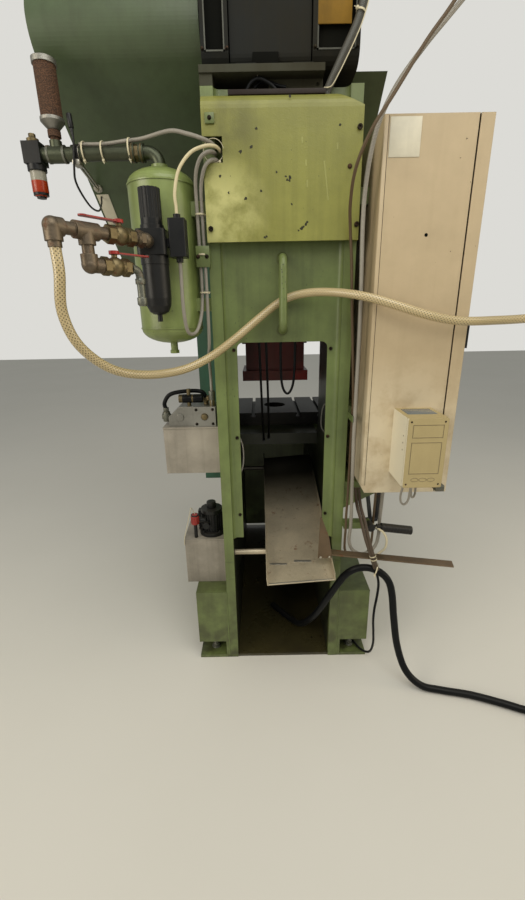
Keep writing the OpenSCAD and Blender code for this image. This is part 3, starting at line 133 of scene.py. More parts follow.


# Patches of another tone: centre, radius, colour and amount. Those on the cover, the ram and the cabinet are
# painted light and shade.
# Cover: the two upper patches darken its upper part as painted shade; the pale lower left one is a painted
# highlight
COVER_PAINTED_LIGHT_AND_SHADE = (((-0.15, -0.66, 2.10), 0.11, linear("#4a4a2b"), 0.55),
                 ((0.05, -0.66, 2.15), 0.22, linear("#717138"), 0.50),
                 ((-0.20, -0.66, 1.86), 0.17, linear("#c4c182"), 0.75))
COLUMN_PATCHES = (((0.252, -0.60, 1.15), 0.20, linear("#3f4a2b"), 0.45),)
# Ram: brighter red at its lower right, as painted light
RAM_PAINTED_LIGHT = (((0.17, 0.20, 1.20), 0.09, linear("#a82216"), 0.80),)
# Cabinet: paler towards its lower part, as painted light
CABINET_PAINTED_LIGHT = (((0.40, -0.73, 1.00), 0.42, linear("#d9cdb2"), 0.70),)

# Where the chute turns dark along Y, as painted shade deeper in the press
CHUTE_SHADE_SPAN = (-0.32, 0.02)


# Node trees

class Tree:
    """A node tree with short calls to add and join nodes."""

    def __init__(self, tree):
        self.tree = tree

    def add(self, kind, _set=None, **inputs):
        """Add a node, set its properties and fill its inputs with values or sockets."""
        node = self.tree.nodes.new(kind)
        for key, value in (_set or {}).items():
            setattr(node, key, value)
        for key, value in inputs.items():
            self.fill(node.inputs[key.replace("_", " ")], value)
        return node

    def fill(self, socket, value):
        """Link a socket, or set its own value."""
        if isinstance(value, bpy.types.NodeSocket):
            self.tree.links.new(value, socket)
        elif value is not None:
            if socket.type == "RGBA" and len(value) == 3:
                value = (*value, 1)
            socket.default_value = value

    def math(self, operation, *values, clamp=False):
        """One step of arithmetic."""
        node = self.tree.nodes.new("ShaderNodeMath")
        node.operation = operation
        node.use_clamp = clamp
        for socket, value in zip(node.inputs, values):
            self.fill(socket, value)
        return node.outputs[0]

    def mix(self, factor, a, b):
        """Mix two colours."""
        node = self.tree.nodes.new("ShaderNodeMix")
        node.data_type = "RGBA"
        for index, value in ((0, factor), (6, a), (7, b)):
            self.fill(node.inputs[index], value)
        return node.outputs[2]

    def ramp(self, value, low, high, to=(0.0, 1.0)):
        """Map a range of values onto another, without running past its ends."""
        node = self.add("ShaderNodeMapRange", Value=value)
        for key, number in (("From Min", low), ("From Max", high), ("To Min", to[0]), ("To Max", to[1])):
            node.inputs[key].default_value = number
        return node.outputs[0]

    def place(self, scale=(1, 1, 1)):
        """The piece's own coordinates, stretched by scale."""
        coords = self.add("ShaderNodeTexCoord").outputs["Object"]
        node = self.add("ShaderNodeMapping", Vector=coords)
        node.inputs["Scale"].default_value = scale
        return node.outputs[0]

    def noise(self, vector, scale, detail=4.0, rough=0.55):
        """Fractal noise."""
        return self.add("ShaderNodeTexNoise", Vector=vector, Scale=scale, Detail=detail,
                        Roughness=rough).outputs["Fac"]


def new_group(name, inputs, outputs):
    """Make an empty node group, and return it with its tree, its input node and its output node."""
    group = bpy.data.node_groups.new(name, "ShaderNodeTree")
    for label, value in inputs:
        socket = group.interface.new_socket(label, in_out="INPUT", socket_type="NodeSocketFloat")
        socket.default_value = value
    for label, kind in outputs:
        group.interface.new_socket(label, in_out="OUTPUT", socket_type=kind)
    tree = Tree(group)
    return group, tree, tree.add("NodeGroupInput"), tree.add("NodeGroupOutput")


def wear_group():
    """Masks of worn paint: chips, grime, streaks and mottling."""
    group, t, given, result = new_group(
        "press_wear", [("Chips", 0.3), ("Chip Scale", 60.0), ("Grime", 0.4)],
        [(label, "NodeSocketFloat") for label in ("Chips", "Grime", "Streaks", "Mottle")])
    place = t.place()
    warp = t.add("ShaderNodeTexNoise", Vector=place, Scale=90.0, Detail=2.0)
    shifted = t.add("ShaderNodeVectorMath", {"operation": "MULTIPLY_ADD"})
    t.fill(shifted.inputs[0], warp.outputs["Color"])
    shifted.inputs[1].default_value = (0.012, 0.012, 0.012)
    t.fill(shifted.inputs[2], place)
    cells = t.add("ShaderNodeTexVoronoi", Vector=shifted.outputs[0], Scale=given.outputs["Chip Scale"])
    size = t.math("MULTIPLY", t.ramp(t.noise(place, 5.0, 3.0), 0.45, 0.75), given.outputs["Chips"])
    chip = t.math("LESS_THAN", cells.outputs["Distance"], size)
    t.fill(result.inputs["Chips"], chip)
    dirt = t.ramp(t.noise(place, 3.0, 8.0, 0.65), 0.42, 0.72)
    t.fill(result.inputs["Grime"], t.math("MULTIPLY", dirt, given.outputs["Grime"], clamp=True))
    t.fill(result.inputs["Streaks"], t.ramp(t.noise(t.place((34, 34, 1.6)), 1.0, 5.0), 0.48, 0.78))
    t.fill(result.inputs["Mottle"], t.noise(place, 11.0, 6.0, 0.6))
    return group


def edge_group():
    """A mask of worn edges, and a normal that rounds them."""
    group, t, given, result = new_group(
        "press_edges", [("Radius", 0.002), ("Amount", 0.6)],
        [("Mask", "NodeSocketFloat"), ("Normal", "NodeSocketVector")])
    bevel = t.add("ShaderNodeBevel", {"samples": 4}, Radius=given.outputs["Radius"])
    flat = t.add("ShaderNodeNewGeometry").outputs["Normal"]
    bend = t.add("ShaderNodeVectorMath", {"operation": "DOT_PRODUCT"})
    t.fill(bend.inputs[0], bevel.outputs[0])
    t.fill(bend.inputs[1], flat)
    ragged = t.math("MULTIPLY", t.noise(t.place(), 45.0, 5.0, 0.7), 0.16)
    mask = t.ramp(t.math("ADD", t.math("SUBTRACT", 1.0, bend.outputs["Value"]), ragged), 0.10, 0.20)
    t.fill(result.inputs["Mask"], t.math("MULTIPLY", mask, given.outputs["Amount"], clamp=True))
    t.fill(result.inputs["Normal"], bevel.outputs[0])
    return group


class Finish:
    """Makes the materials out of the shared groups."""

    def __init__(self, colours):
        self.c = colours
        self.wear = wear_group()
        self.edges = edge_group()
        self.made = {}

    def start(self, name):
        """A new material, with its tree and its shader."""
        material = bpy.data.materials.new(name)
        material.use_nodes = True
        t = Tree(material.node_tree)
        shader = material.node_tree.nodes["Principled BSDF"]
        return material, t, shader

    def masks(self, t, chips, scale, grime, edge):
        """The two shared groups, with their inputs filled."""
        wear = t.add("ShaderNodeGroup", {"node_tree": self.wear}, Chips=chips, Chip_Scale=scale, Grime=grime)
        edges = t.add("ShaderNodeGroup", {"node_tree": self.edges}, Amount=edge)
        return wear.outputs, edges.outputs

    def inside_oil_and_shade(self, t):
        """A mask of the faces between the side plates, which take oily dirt and painted shade."""
        place = t.add("ShaderNodeSeparateXYZ", Vector=t.place()).outputs
        across = t.math("LESS_THAN", t.math("ABSOLUTE", place["X"]), INNER_X)
        behind = t.math("GREATER_THAN", place["Y"], WALL_Y)
        before = t.math("LESS_THAN", place["Y"], APRON_Y)
        return t.math("MULTIPLY", across, t.math("MULTIPLY", behind, before))

    def spotted(self, t, tone, wear, patches):
        """Soft patches of another tone, each with its centre, radius, colour and amount."""
        for centre, radius, spot, amount in patches:
            away = t.add("ShaderNodeVectorMath", {"operation": "DISTANCE"})
            t.fill(away.inputs[0], t.place())
            away.inputs[1].default_value = centre
            near = t.math("MULTIPLY", t.ramp(away.outputs["Value"], radius, radius * 0.35),
                          t.ramp(wear["Mottle"], 0.3, 0.55))
            tone = t.mix(t.math("MULTIPLY", near, amount, clamp=True), tone, spot)
        return tone

    def paint(self, name, base, under, chips=0.25, scale=60.0, grime=0.5, edge=0.5, gloss=0.38, dirt=None,
              floor=0.0, stipple=0.0, metal=0.0, inside=False, coat=0.15, shine=0.5, uneven=1.0, patches=(),
              lit=None):
        """Paint over metal: mottled, chipped, dirty in patches, worn along its edges. Patches, a left side
        and the faces between the side plates can also take painted light and shade.
        """
        material, t, shader = self.start(name)
        wear, edges = self.masks(t, chips, scale, grime, edge)
        dirt = dirt or self.c.oil
        tone = t.mix(wear["Mottle"], [c * (1 - 0.28 * uneven) for c in base],
                     [min(1, c * (1 + 0.22 * uneven)) for c in base])
        tone = t.mix(t.math("MULTIPLY", wear["Streaks"], 0.45 * min(1, grime * 1.4)), tone, dirt)
        tone = t.mix(wear["Grime"], tone, dirt)
        if floor:
            height = t.add("ShaderNodeSeparateXYZ", Vector=t.place()).outputs["Z"]
            low = t.math("MULTIPLY", t.ramp(height, 0.75, 0.0), t.ramp(wear["Mottle"], 0.35, 0.6))
            tone = t.mix(t.math("MULTIPLY", low, floor, clamp=True), tone, dirt)
        tone = self.spotted(t, tone, wear, patches)
        # Painted light: faces that look to the left (-X) turn towards the given pale colour
        if lit:
            facing = t.add("ShaderNodeSeparateXYZ", Vector=t.add("ShaderNodeNewGeometry").outputs["Normal"])
            tone = t.mix(t.ramp(facing.outputs["X"], -0.3, -0.9, (0.0, 0.75)), tone, lit)
        bare = t.math("MAXIMUM", wear["Chips"], edges["Mask"])
        tone = t.mix(bare, tone, under)
        # Faces between the side plates take oily dirt and painted shade
        if inside:
            tone = t.mix(t.math("MULTIPLY", self.inside_oil_and_shade(t), 0.9), tone, self.c.inside)
        t.fill(shader.inputs["Base Color"], tone)
        t.fill(shader.inputs["Roughness"], t.math("ADD", t.math("MULTIPLY", wear["Grime"], 0.3),
                                                  t.ramp(wear["Mottle"], 0.2, 0.8, (gloss, gloss + 0.14))))
        t.fill(shader.inputs["Metallic"], t.math("MULTIPLY", bare, metal))
        orange = t.noise(t.place(), 260.0, 2.0)
        relief = t.math("MULTIPLY", orange, 0.25 + stipple)
        height = t.math("SUBTRACT", relief, t.math("MULTIPLY", bare, 0.8))
        bump = t.add("ShaderNodeBump", Strength=0.5, Distance=0.0008, Height=height, Normal=edges["Normal"])
        t.fill(shader.inputs["Normal"], bump.outputs[0])
        shader.inputs["Specular IOR Level"].default_value = shine
        shader.inputs["Coat Weight"].default_value = coat
        shader.inputs["Coat Roughness"].default_value = 0.25
        return material

    def steel(self, name, base, rust=0.4, rough=0.38, grime=0.4, grain=(4, 4, 4), metal=0.85, fade=None):
        """Bare steel: brushed, with rust and oily dirt in patches, and darker between two places along Y as
        painted shade.
        """
        material, t, shader = self.start(name)
        wear, edges = self.masks(t, 0.0, 60.0, grime, 0.5)
        brush = t.noise(t.place(grain), 60.0, 4.0)
        tone = t.mix(brush, [c * 0.65 for c in base], [min(1, c * 1.15) for c in base])
        spots = t.ramp(t.noise(t.place(), 26.0, 8.0, 0.7), 0.68 - 0.4 * rust, 0.78 - 0.4 * rust)
        spots = t.math("MULTIPLY", spots, t.ramp(wear["Mottle"], 0.3, 0.6), clamp=True)
        tone = t.mix(spots, tone, self.c.rust)
        tone = t.mix(wear["Grime"], tone, self.c.oil)
        tone = t.mix(t.math("MULTIPLY", edges["Mask"], 0.5), tone, [min(1, c * 1.6) for c in base])
        # Painted shade: darker towards +Y, into the press
        if fade:
            depth = t.add("ShaderNodeSeparateXYZ", Vector=t.place()).outputs["Y"]
            tone = t.mix(t.ramp(depth, *fade, (0.0, 0.92)), tone, self.c.inside)
        t.fill(shader.inputs["Base Color"], tone)
        polished = t.math("SUBTRACT", metal, t.math("MULTIPLY", spots, metal), clamp=True)
        t.fill(shader.inputs["Metallic"], polished)
        t.fill(shader.inputs["Roughness"], t.math("ADD", t.math("MULTIPLY", spots, 0.4),
                                                  t.ramp(brush, 0.2, 0.8, (rough - 0.06, rough + 0.12))))
        bump = t.add("ShaderNodeBump", Strength=0.4, Distance=0.0008,
                     Height=t.math("ADD", brush, spots), Normal=edges["Normal"])
        t.fill(shader.inputs["Normal"], bump.outputs[0])
        return material

    def moulded(self, name, base, rough=0.42, dust=0.25, grain=420.0, dusty=(0.32, 0.29, 0.22), shine=0.3):
        """Moulded plastic or rubber with fine grain and dust on top."""
        material, t, shader = self.start(name)
        wear, edges = self.masks(t, 0.0, 60.0, dust, 0.4)
        facing = t.add("ShaderNodeSeparateXYZ", Vector=t.add("ShaderNodeNewGeometry").outputs["Normal"])
        top = t.math("MULTIPLY", t.ramp(facing.outputs["Z"], 0.2, 1.0), dust)
        tone = t.mix(wear["Mottle"], [c * 0.8 for c in base], [min(1, c * 1.2) for c in base])
        tone = t.mix(t.math("MAXIMUM", t.math("MULTIPLY", wear["Grime"], 0.5), top, clamp=True), tone, dusty)
        tone = t.mix(t.math("MULTIPLY", edges["Mask"], 0.35), tone, [min(1, c * 2.2 + 0.03) for c in base])
        t.fill(shader.inputs["Base Color"], tone)
        t.fill(shader.inputs["Roughness"], t.ramp(wear["Mottle"], 0.2, 0.8, (rough - 0.08, rough + 0.12)))
        shader.inputs["Specular IOR Level"].default_value = shine
        bump = t.add("ShaderNodeBump", Strength=0.25, Distance=0.0005, Height=t.noise(t.place(), grain, 2.0),
                     Normal=edges["Normal"])
        t.fill(shader.inputs["Normal"], bump.outputs[0])
        return material

    def braided(self, name, base):
        """A clear hose over a braid of thread, which follows the tube's own coordinates."""
        material, t, shader = self.start(name)
        place = t.add("ShaderNodeTexCoord").outputs["UV"]
        split = t.add("ShaderNodeSeparateXYZ", Vector=place)
        around = t.math("MULTIPLY", split.outputs["X"], 8.0)
        along = t.math("MULTIPLY", split.outputs["Y"], 95.0)
        threads = []
        for sign in ("ADD", "SUBTRACT"):
            wave = t.math("FRACT", t.math(sign, around, along))
            threads.append(t.ramp(t.math("ABSOLUTE", t.math("SUBTRACT", wave, 0.5)), 0.14, 0.3))
        weave = t.math("MAXIMUM", *threads)
        wear, _ = self.masks(t, 0.0, 60.0, 0.6, 0.0)
        tone = t.mix(weave, [c * 0.16 for c in base], [min(1, c * 1.1) for c in base])
        tone = t.mix(t.math("MULTIPLY", wear["Grime"], 0.7), tone, linear("#75673f"))
        tone = t.mix(t.ramp(wear["Mottle"], 0.35, 0.75, (0.0, 0.35)), tone, linear("#a08d58"))
        t.fill(shader.inputs["Base Color"], tone)
        shader.inputs["Roughness"].default_value = 0.36
        shader.inputs["Coat Weight"].default_value = 0.7
        shader.inputs["Coat Roughness"].default_value = 0.16
        bump = t.add("ShaderNodeBump", Strength=0.35, Distance=0.0006, Height=weave)
        t.fill(shader.inputs["Normal"], bump.outputs[0])
        return material

    def ringed(self, name, base, pitch=160.0, depth=0.6):
        """A tube with rings or a woven sleeve along it."""
        material, t, shader = self.start(name)
        split = t.add("ShaderNodeSeparateXYZ", Vector=t.add("ShaderNodeTexCoord").outputs["UV"])
        wave = t.math("SINE", t.math("MULTIPLY", split.outputs["Y"], pitch * 2 * math.pi))
        ring = t.ramp(wave, -1.0, 1.0)
        wear, _ = self.masks(t, 0.0, 60.0, 0.5, 0.0)
        tone = t.mix(ring, [c * 0.6 for c in base], [min(1, c * 1.1) for c in base])
        tone = t.mix(t.math("MULTIPLY", wear["Grime"], 0.6), tone, self.c.oil)
        t.fill(shader.inputs["Base Color"], tone)
        shader.inputs["Roughness"].default_value = 0.42
        bump = t.add("ShaderNodeBump", Strength=depth, Distance=0.001, Height=ring)
        t.fill(shader.inputs["Normal"], bump.outputs[0])
        return material

    def sintered(self, name, base):
        """Porous sintered bronze."""
        material, t, shader = self.start(name)
        cells = t.add("ShaderNodeTexVoronoi", Vector=t.place(), Scale=330.0)
        wear, _ = self.masks(t, 0.0, 60.0, 0.5, 0.3)
        hollow = t.ramp(cells.outputs["Distance"], 0.1, 0.6)
        tone = t.mix(hollow, [c * 1.3 for c in base], [c * 0.35 for c in base])
        tone = t.mix(wear["Grime"], tone, linear("#2b2119"))
        t.fill(shader.inputs["Base Color"], tone)
        shader.inputs["Roughness"].default_value = 0.8
        shader.inputs["Metallic"].default_value = 0.2
        bump = t.add("ShaderNodeBump", Strength=0.8, Distance=0.0015, Height=cells.outputs["Distance"])
        t.fill(shader.inputs["Normal"], bump.outputs[0])
        return material

    def clear(self, name, tint, rough=0.08):
        """Clear plastic, or the oil that shows in it."""
        material, t, shader = self.start(name)
        haze = t.noise(t.place(), 60.0, 4.0)
        t.fill(shader.inputs["Base Color"], t.mix(haze, tint, [min(1, c * 1.2) for c in tint]))
        t.fill(shader.inputs["Roughness"], t.ramp(haze, 0.3, 0.7, (rough, rough + 0.2)))
        shader.inputs["Transmission Weight"].default_value = 0.6
        shader.inputs["IOR"].default_value = 1.45
        return material

    def keep(self, make, name, *tones, **look):
        """Make one material and keep it by its name. A tone may be a colour code."""
        tones = [linear(tone) if isinstance(tone, str) else tone for tone in tones]
        self.made[name] = make(name, *tones, **look)

    def all(self):
        """Every material, by the record's slot or by its own name."""
        c = self.c
        # frame_paint: oily dirt and painted shade between the side plates (inside=True)
        self.keep(self.paint, "frame_paint", c.frame, c.frame_chip, chips=0.2, scale=70.0, grime=0.5,
                  edge=0.35, gloss=0.34, floor=0.8, inside=True, patches=COLUMN_PATCHES)
        self.keep(self.paint, "cover_paint", c.cover, "#2b2a1c", chips=0.12, scale=42.0, grime=0.3,
                  edge=0.3, gloss=0.3, stipple=0.9, coat=0.1, shine=0.36, uneven=0.8, patches=COVER_PAINTED_LIGHT_AND_SHADE)
        self.keep(self.paint, "guard_paint", c.guard, "#2c3328", chips=0.1, scale=50.0, grime=0.35,
                  edge=0.4, gloss=0.42)
        self.keep(self.paint, "side_paint", c.side, "#2c3328", chips=0.15, scale=60.0, grime=0.4, edge=0.4,
                  gloss=0.42)
        self.keep(self.paint, "base_steel", "#3b3620", "#1a170f", chips=0.3, scale=40.0, grime=0.9,
                  edge=0.4, gloss=0.2)
        self.keep(self.steel, "ground_steel", c.steel, rust=0.15, rough=0.32, grime=0.5, grain=(3, 60, 3))
        self.keep(self.paint, "ram_paint", c.ram, "#2a1a16", chips=0.25, scale=60.0, grime=0.5, edge=0.6,
                  gloss=0.34, patches=RAM_PAINTED_LIGHT)
        self.keep(self.steel, "bearing_bronze", c.brass, rust=0.1, rough=0.34, grime=0.4)
        self.keep(self.paint, "clutch_lining", "#8f4a2c", "#3a322c", chips=0.2, scale=60.0, grime=0.5)
        self.keep(self.steel, "cast_iron", "#5b5d5f", rust=0.3, rough=0.5, grime=0.5)
        self.keep(self.paint, "motor_paint", c.motor, "#4a4b46", chips=0.1, scale=60.0, grime=0.4, edge=0.3,
                  gloss=0.56, coat=0.0, shine=0.12)
        self.keep(self.moulded, "belt_rubber", c.black, rough=0.7, dust=0.4)
        self.keep(self.steel, "screw_steel", "#26211a", rust=0.4, rough=0.45, grime=0.6)
        self.keep(self.steel, "worn_steel", "#d6c8ac", rust=0.24, rough=0.38, grime=0.45, grain=(9, 1, 9),
                  metal=0.45, fade=CHUTE_SHADE_SPAN)
        self.keep(self.steel, "brown_steel", "#75614a", rust=0.32, rough=0.45, grime=0.75, grain=(9, 1, 9),
                  metal=0.35)
        self.keep(self.steel, "dark_pipe", "#565b4b", rust=0.12, rough=0.36, grime=0.6)
        self.keep(self.paint, "cabinet_paint", c.cabinet, "#6d5f48", chips=0.08, scale=30.0, grime=0.22,
                  edge=0.12, gloss=0.4, dirt=linear("#8f7d5e"), uneven=0.45, patches=CABINET_PAINTED_LIGHT)
        # The box's left side takes painted light
        self.keep(self.paint, "box_paint", c.box, "#8a7a56", chips=0.05, scale=30.0, grime=0.15, edge=0.1,
                  gloss=0.45, dirt=linear("#8a7648"), uneven=0.5, lit=linear("#f0ead6"))
        self.keep(self.moulded, "black_plastic", c.black, rough=0.34, dust=0.07)
        self.keep(self.steel, "zinc_plate", "#b9bcc0", rust=0.05, rough=0.35, grime=0.2)
        self.keep(self.paint, "receiver_paint", c.receiver, "#3c4426", chips=0.14, scale=50.0, grime=0.35,
                  edge=0.3, gloss=0.24)
        self.keep(self.steel, "pipe_steel", "#7b7c72", rust=0.28, rough=0.42, grime=0.55)
        self.keep(self.steel, "rusty_pipe", "#7a6d5d", rust=0.36, rough=0.44, grime=0.6)
        self.keep(self.sintered, "sintered_bronze", "#6b4a33")
        self.keep(self.steel, "valve_brass", c.brass, rust=0.3, rough=0.42, grime=0.95)
        self.keep(self.paint, "lever_paint", c.red, "#4a2018", chips=0.25, scale=90.0, grime=0.4, edge=0.5,
                  gloss=0.36)
        self.keep(self.paint, "tank_grey", c.tank, "#55524a", chips=0.12, scale=50.0, grime=0.5, edge=0.3,
                  gloss=0.4)
        self.keep(self.steel, "cast_aluminium", "#a3a19a", rust=0.1, rough=0.4, grime=0.6, grain=(30, 4, 4))
        self.keep(self.ringed, "cable_grey", "#9b958a", pitch=300.0, depth=0.3)
        self.keep(self.moulded, "cable_brown", "#54432f", rough=0.42, dust=0.2)
        self.keep(self.moulded, "cable_cream", "#cbbf9c", rough=0.42, dust=0.25)
        self.keep(self.braided, "hose_braid", c.braid)
        self.keep(self.moulded, "hose_black", "#0b0d10", rough=0.34, dust=0.03, shine=0.14)
        self.keep(self.steel, "fitting_steel", "#a6a39c", rust=0.1, rough=0.3, grime=0.3)
        self.keep(self.moulded, "grip_black", "#141416", rough=0.36, dust=0.12)
        self.keep(self.paint, "blank_plate", c.plate, "#8a8576", chips=0.05, scale=40.0, grime=0.15,
                  edge=0.1, gloss=0.4)
        self.keep(self.paint, "yellow_plate", "#8d6a1f", "#4a3a14", chips=0.1, scale=50.0, grime=0.5,
                  edge=0.2, gloss=0.5, coat=0.0, shine=0.2)
        self.keep(self.moulded, "window_blue", "#59646c", rough=0.16, dust=0.1)
        self.keep(self.paint, "motor_dark", "#0d0e0c", "#0d0e0c", chips=0.0, scale=60.0, grime=0.1,
                  edge=0.0, gloss=0.7, coat=0.0, shine=0.05)
        self.keep(self.steel, "bright_steel", "#c2bdb0", rust=0.1, rough=0.3, grime=0.2)
        self.keep(self.steel, "oily_steel", "#15130e", rust=0.1, rough=0.5, grime=0.8, grain=(3, 40, 3),
                  metal=0.1)
        # The motor base: darkened by dirt and by painted shade
        self.keep(self.paint, "base_dark", "#38382a", "#24221a", chips=0.2, scale=50.0, grime=0.7, edge=0.3,
                  gloss=0.5, coat=0.0, shine=0.25)
        self.keep(self.paint, "motor_edge", "#5b5c56", "#2c2d29", chips=0.2, scale=60.0, grime=0.4,
                  edge=0.2, gloss=0.5, coat=0.0, shine=0.2)
        self.keep(self.moulded, "print_grey", "#6e634c", rough=0.5, dust=0.05)
        self.keep(self.ringed, "lead_grey", "#4d4c46", pitch=260.0, depth=0.5)
        self.keep(self.paint, "scuff_pale", [x * 1.12 + 0.015 for x in c.cover], c.cover, chips=0.5,
                  scale=260.0, grime=0.1)
        self.keep(self.moulded, "bare_spot", "#2b2a1c", rough=0.6, dust=0.1)
        self.keep(self.moulded, "hose_brown", "#3b2a1e", rough=0.4, dust=0.35)
        # Brown of the cover's upper edge, darkened as painted shade
        self.keep(self.moulded, "rubber_brown", "#1c100c", rough=0.6, dust=0.08)
        self.keep(self.moulded, "tie_pale", "#c9bfa2", rough=0.4, dust=0.1)
        self.keep(self.clear, "red_oil", "#d9481c", rough=0.12)
        self.keep(self.clear, "clear_bowl", "#cfcab8")
        self.keep(self.paint, "weld_bead", [x * 0.85 for x in c.frame], c.frame_chip, chips=0.2, scale=90.0,
                  grime=0.6, edge=0.3, gloss=0.42)
        return self.made


# Shapes

def towards(direction):
    """The rotation that turns +Z to a direction."""
    return Vector(direction).normalized().to_track_quat("Z", "Y").to_matrix().to_4x4()


class Shape:
    """Collects one piece's solids in a mesh, each with its material's number."""

    def __init__(self):
        self.bm = bmesh.new()
        self.uv = self.bm.loops.layers.uv.verify()

    def take(self, verts, slot, matrix=None):
        """Place new vertices and give their faces a material."""
        if matrix is not None:
            bmesh.ops.transform(self.bm, matrix=matrix, verts=verts)
        for face in {f for v in verts for f in v.link_faces}:
            face.material_index = slot

    def soften(self, verts, width):
        """Bevel the edges of new vertices."""
        edges = list(dict.fromkeys(e for v in verts for e in v.link_edges))
        made = bmesh.ops.bevel(self.bm, geom=edges, offset=width, segments=2, profile=0.5, affect="EDGES",
                               clamp_overlap=True, material=-1)
        kept = [v for v in verts if v.is_valid]
        return list(dict.fromkeys([v for f in made["faces"] for v in f.verts] + kept))

    def box(self, low, high, slot=0, bevel=0.0, matrix=None):
        """A box between two corners."""
        low, high = Vector(low), Vector(high)
        verts = bmesh.ops.create_cube(self.bm, size=1)["verts"]
        grow = Matrix.Translation((low + high) / 2) @ Matrix.Diagonal((*(high - low), 1))
        bmesh.ops.transform(self.bm, matrix=grow, verts=verts)
        if bevel:
            verts = self.soften(verts, bevel)
        self.take(verts, slot, matrix)

    def rod(self, start, end, radius, slot=0, sides=24, bevel=0.0, radius2=None):
        """A cylinder or cone between two points."""
        start, end = Vector(start), Vector(end)
        verts = bmesh.ops.create_cone(self.bm, cap_ends=True, segments=sides, radius1=radius,
                                      radius2=radius if radius2 is None else radius2,
                                      depth=(end - start).length)["verts"]
        if bevel:
            verts = self.soften(verts, bevel)
        self.take(verts, slot, Matrix.Translation((start + end) / 2) @ towards(end - start))

    def lathe(self, base, axis, profile, slot=0, sides=32):
        """A turned solid: profile holds pairs of radius and distance along the axis."""
        matrix = Matrix.Translation(Vector(base)) @ towards(axis)
        chain = [self.bm.verts.new((radius, 0, along)) for radius, along in profile]
        edges = [self.bm.edges.new(pair) for pair in zip(chain, chain[1:])]
        made = bmesh.ops.spin(self.bm, geom=chain + edges, angle=2 * math.pi, steps=sides, axis=UP,
                              cent=(0, 0, 0), use_merge=True)
        last = [item for item in made["geom_last"] if isinstance(item, bmesh.types.BMVert)]
        linked = dict.fromkeys(chain + last)
        more = True
        while more:
            more = [v for u in linked for e in u.link_edges for v in e.verts if v not in linked]
            linked.update(dict.fromkeys(more))
        bmesh.ops.remove_doubles(self.bm, verts=list(linked), dist=1e-6)
        self.take([v for v in linked if v.is_valid], slot, matrix)

    def tube(self, points, radius, slot=0, sides=12):
        """A round tube along points, with its length in metres as its second coordinate."""
        points = [Vector(p) for p in points]
        rings, run, along = [], 0.0, [0.0]
        side = None
        for i, point in enumerate(points):
            way = (points[min(i + 1, len(points) - 1)] - points[max(i - 1, 0)]).normalized()
            side = side or (RIGHT if abs(way.z) > 0.8 else UP)
            side = (side - way * side.dot(way)).normalized()
            other = way.cross(side)
            turns = [2 * math.pi * k / sides for k in range(sides)]
            rings.append([self.bm.verts.new(point + radius * (math.cos(a) * side + math.sin(a) * other))
                          for a in turns])
        for a, b in zip(points, points[1:]):
            run += (b - a).length
            along.append(run)
        for i, (low, high) in enumerate(zip(rings, rings[1:])):
            for k in range(sides):
                face = self.bm.faces.new((low[k], low[(k + 1) % sides], high[(k + 1) % sides], high[k]))
                face.material_index = slot
                face.smooth = True
                corners = ((k, i), (k + 1, i), (k + 1, i + 1), (k, i + 1))
                for loop, (turn, ring) in zip(face.loops, corners):
                    loop[self.uv].uv = (turn / sides, along[ring])
        for ring in (list(reversed(rings[0])), rings[-1]):
            self.bm.faces.new(ring).material_index = slot

    def plate(self, outline, depth, slot=0, matrix=None, bevel=0.0):
        """A flat plate: an outline in X and Y, extruded along Z."""
        face = self.bm.faces.new([self.bm.verts.new((x, y, 0)) for x, y in outline])
        made = bmesh.ops.extrude_face_region(self.bm, geom=[face])
        top = [v for v in made["geom"] if isinstance(v, bmesh.types.BMVert)]
        bmesh.ops.translate(self.bm, vec=(0, 0, depth), verts=top)
        verts = list(dict.fromkeys(top + list(face.verts)))
        faces = list(dict.fromkeys(f for v in verts for f in v.link_faces))
        bmesh.ops.recalc_face_normals(self.bm, faces=faces)
        if bevel:
            verts = self.soften(verts, bevel)
        self.take(verts, slot, matrix)

    def done(self, name, body, materials, angle=CUT_EDGE):
        """Write the mesh, and let the piece ride on its body."""
        bmesh.ops.recalc_face_normals(self.bm, faces=self.bm.faces)
        mesh = bpy.data.meshes.new(name)
        for face in self.bm.faces:
            face.smooth = True
        self.bm.to_mesh(mesh)
        self.bm.free()
        mesh.set_sharp_from_angle(angle=math.radians(angle))
        for material in materials:
            mesh.materials.append(material)
        piece = bpy.data.objects.new(name, mesh)
        bpy.context.scene.collection.objects.link(piece)
        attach(piece, body)
        return piece


def rounded(width, height, radius, steps=5):
    """Outline of a rectangle with round corners."""
    points = []
    for turn, (sx, sy) in enumerate(((1, 1), (-1, 1), (-1, -1), (1, -1))):
        for i in range(steps + 1):
            a = math.radians(90 * turn + 90 * i / steps)
            points.append((sx * (width / 2 - radius) + radius * math.cos(a),
                           sy * (height / 2 - radius) + radius * math.sin(a)))
    return points


def spline(a, b, c, d, u):
    """A point between b and c on a smooth curve."""
    square = (2 * a - 5 * b + 4 * c - d) * u ** 2
    cube = (3 * b - a - 3 * c + d) * u ** 3
    return 0.5 * (2 * b + (c - a) * u + square + cube)


def smooth(route, steps=6):
    """More points along a smooth curve through a route."""
    p = [Vector(point) for point in route]
    last = len(p) - 1
    fine = [spline(p[max(i - 1, 0)], p[i], p[i + 1], p[min(i + 2, last)], k / steps)
            for i in range(last) for k in range(steps)]
    return fine + [p[last]]


def led(start, route, end):
    """A smooth route with a straight stretch at each end."""
    return [Vector(start)] + smooth(route) + [Vector(end)]


def ring(shape, centre, axis, inner, outer, width, slot=0, sides=28):
    """A flat ring round an axis."""
    way = Vector(axis).normalized()
    shape.lathe(Vector(centre) - way * width / 2, way,
                [(inner, 0), (outer, 0), (outer, width), (inner, width), (inner, 0)], slot, sides)


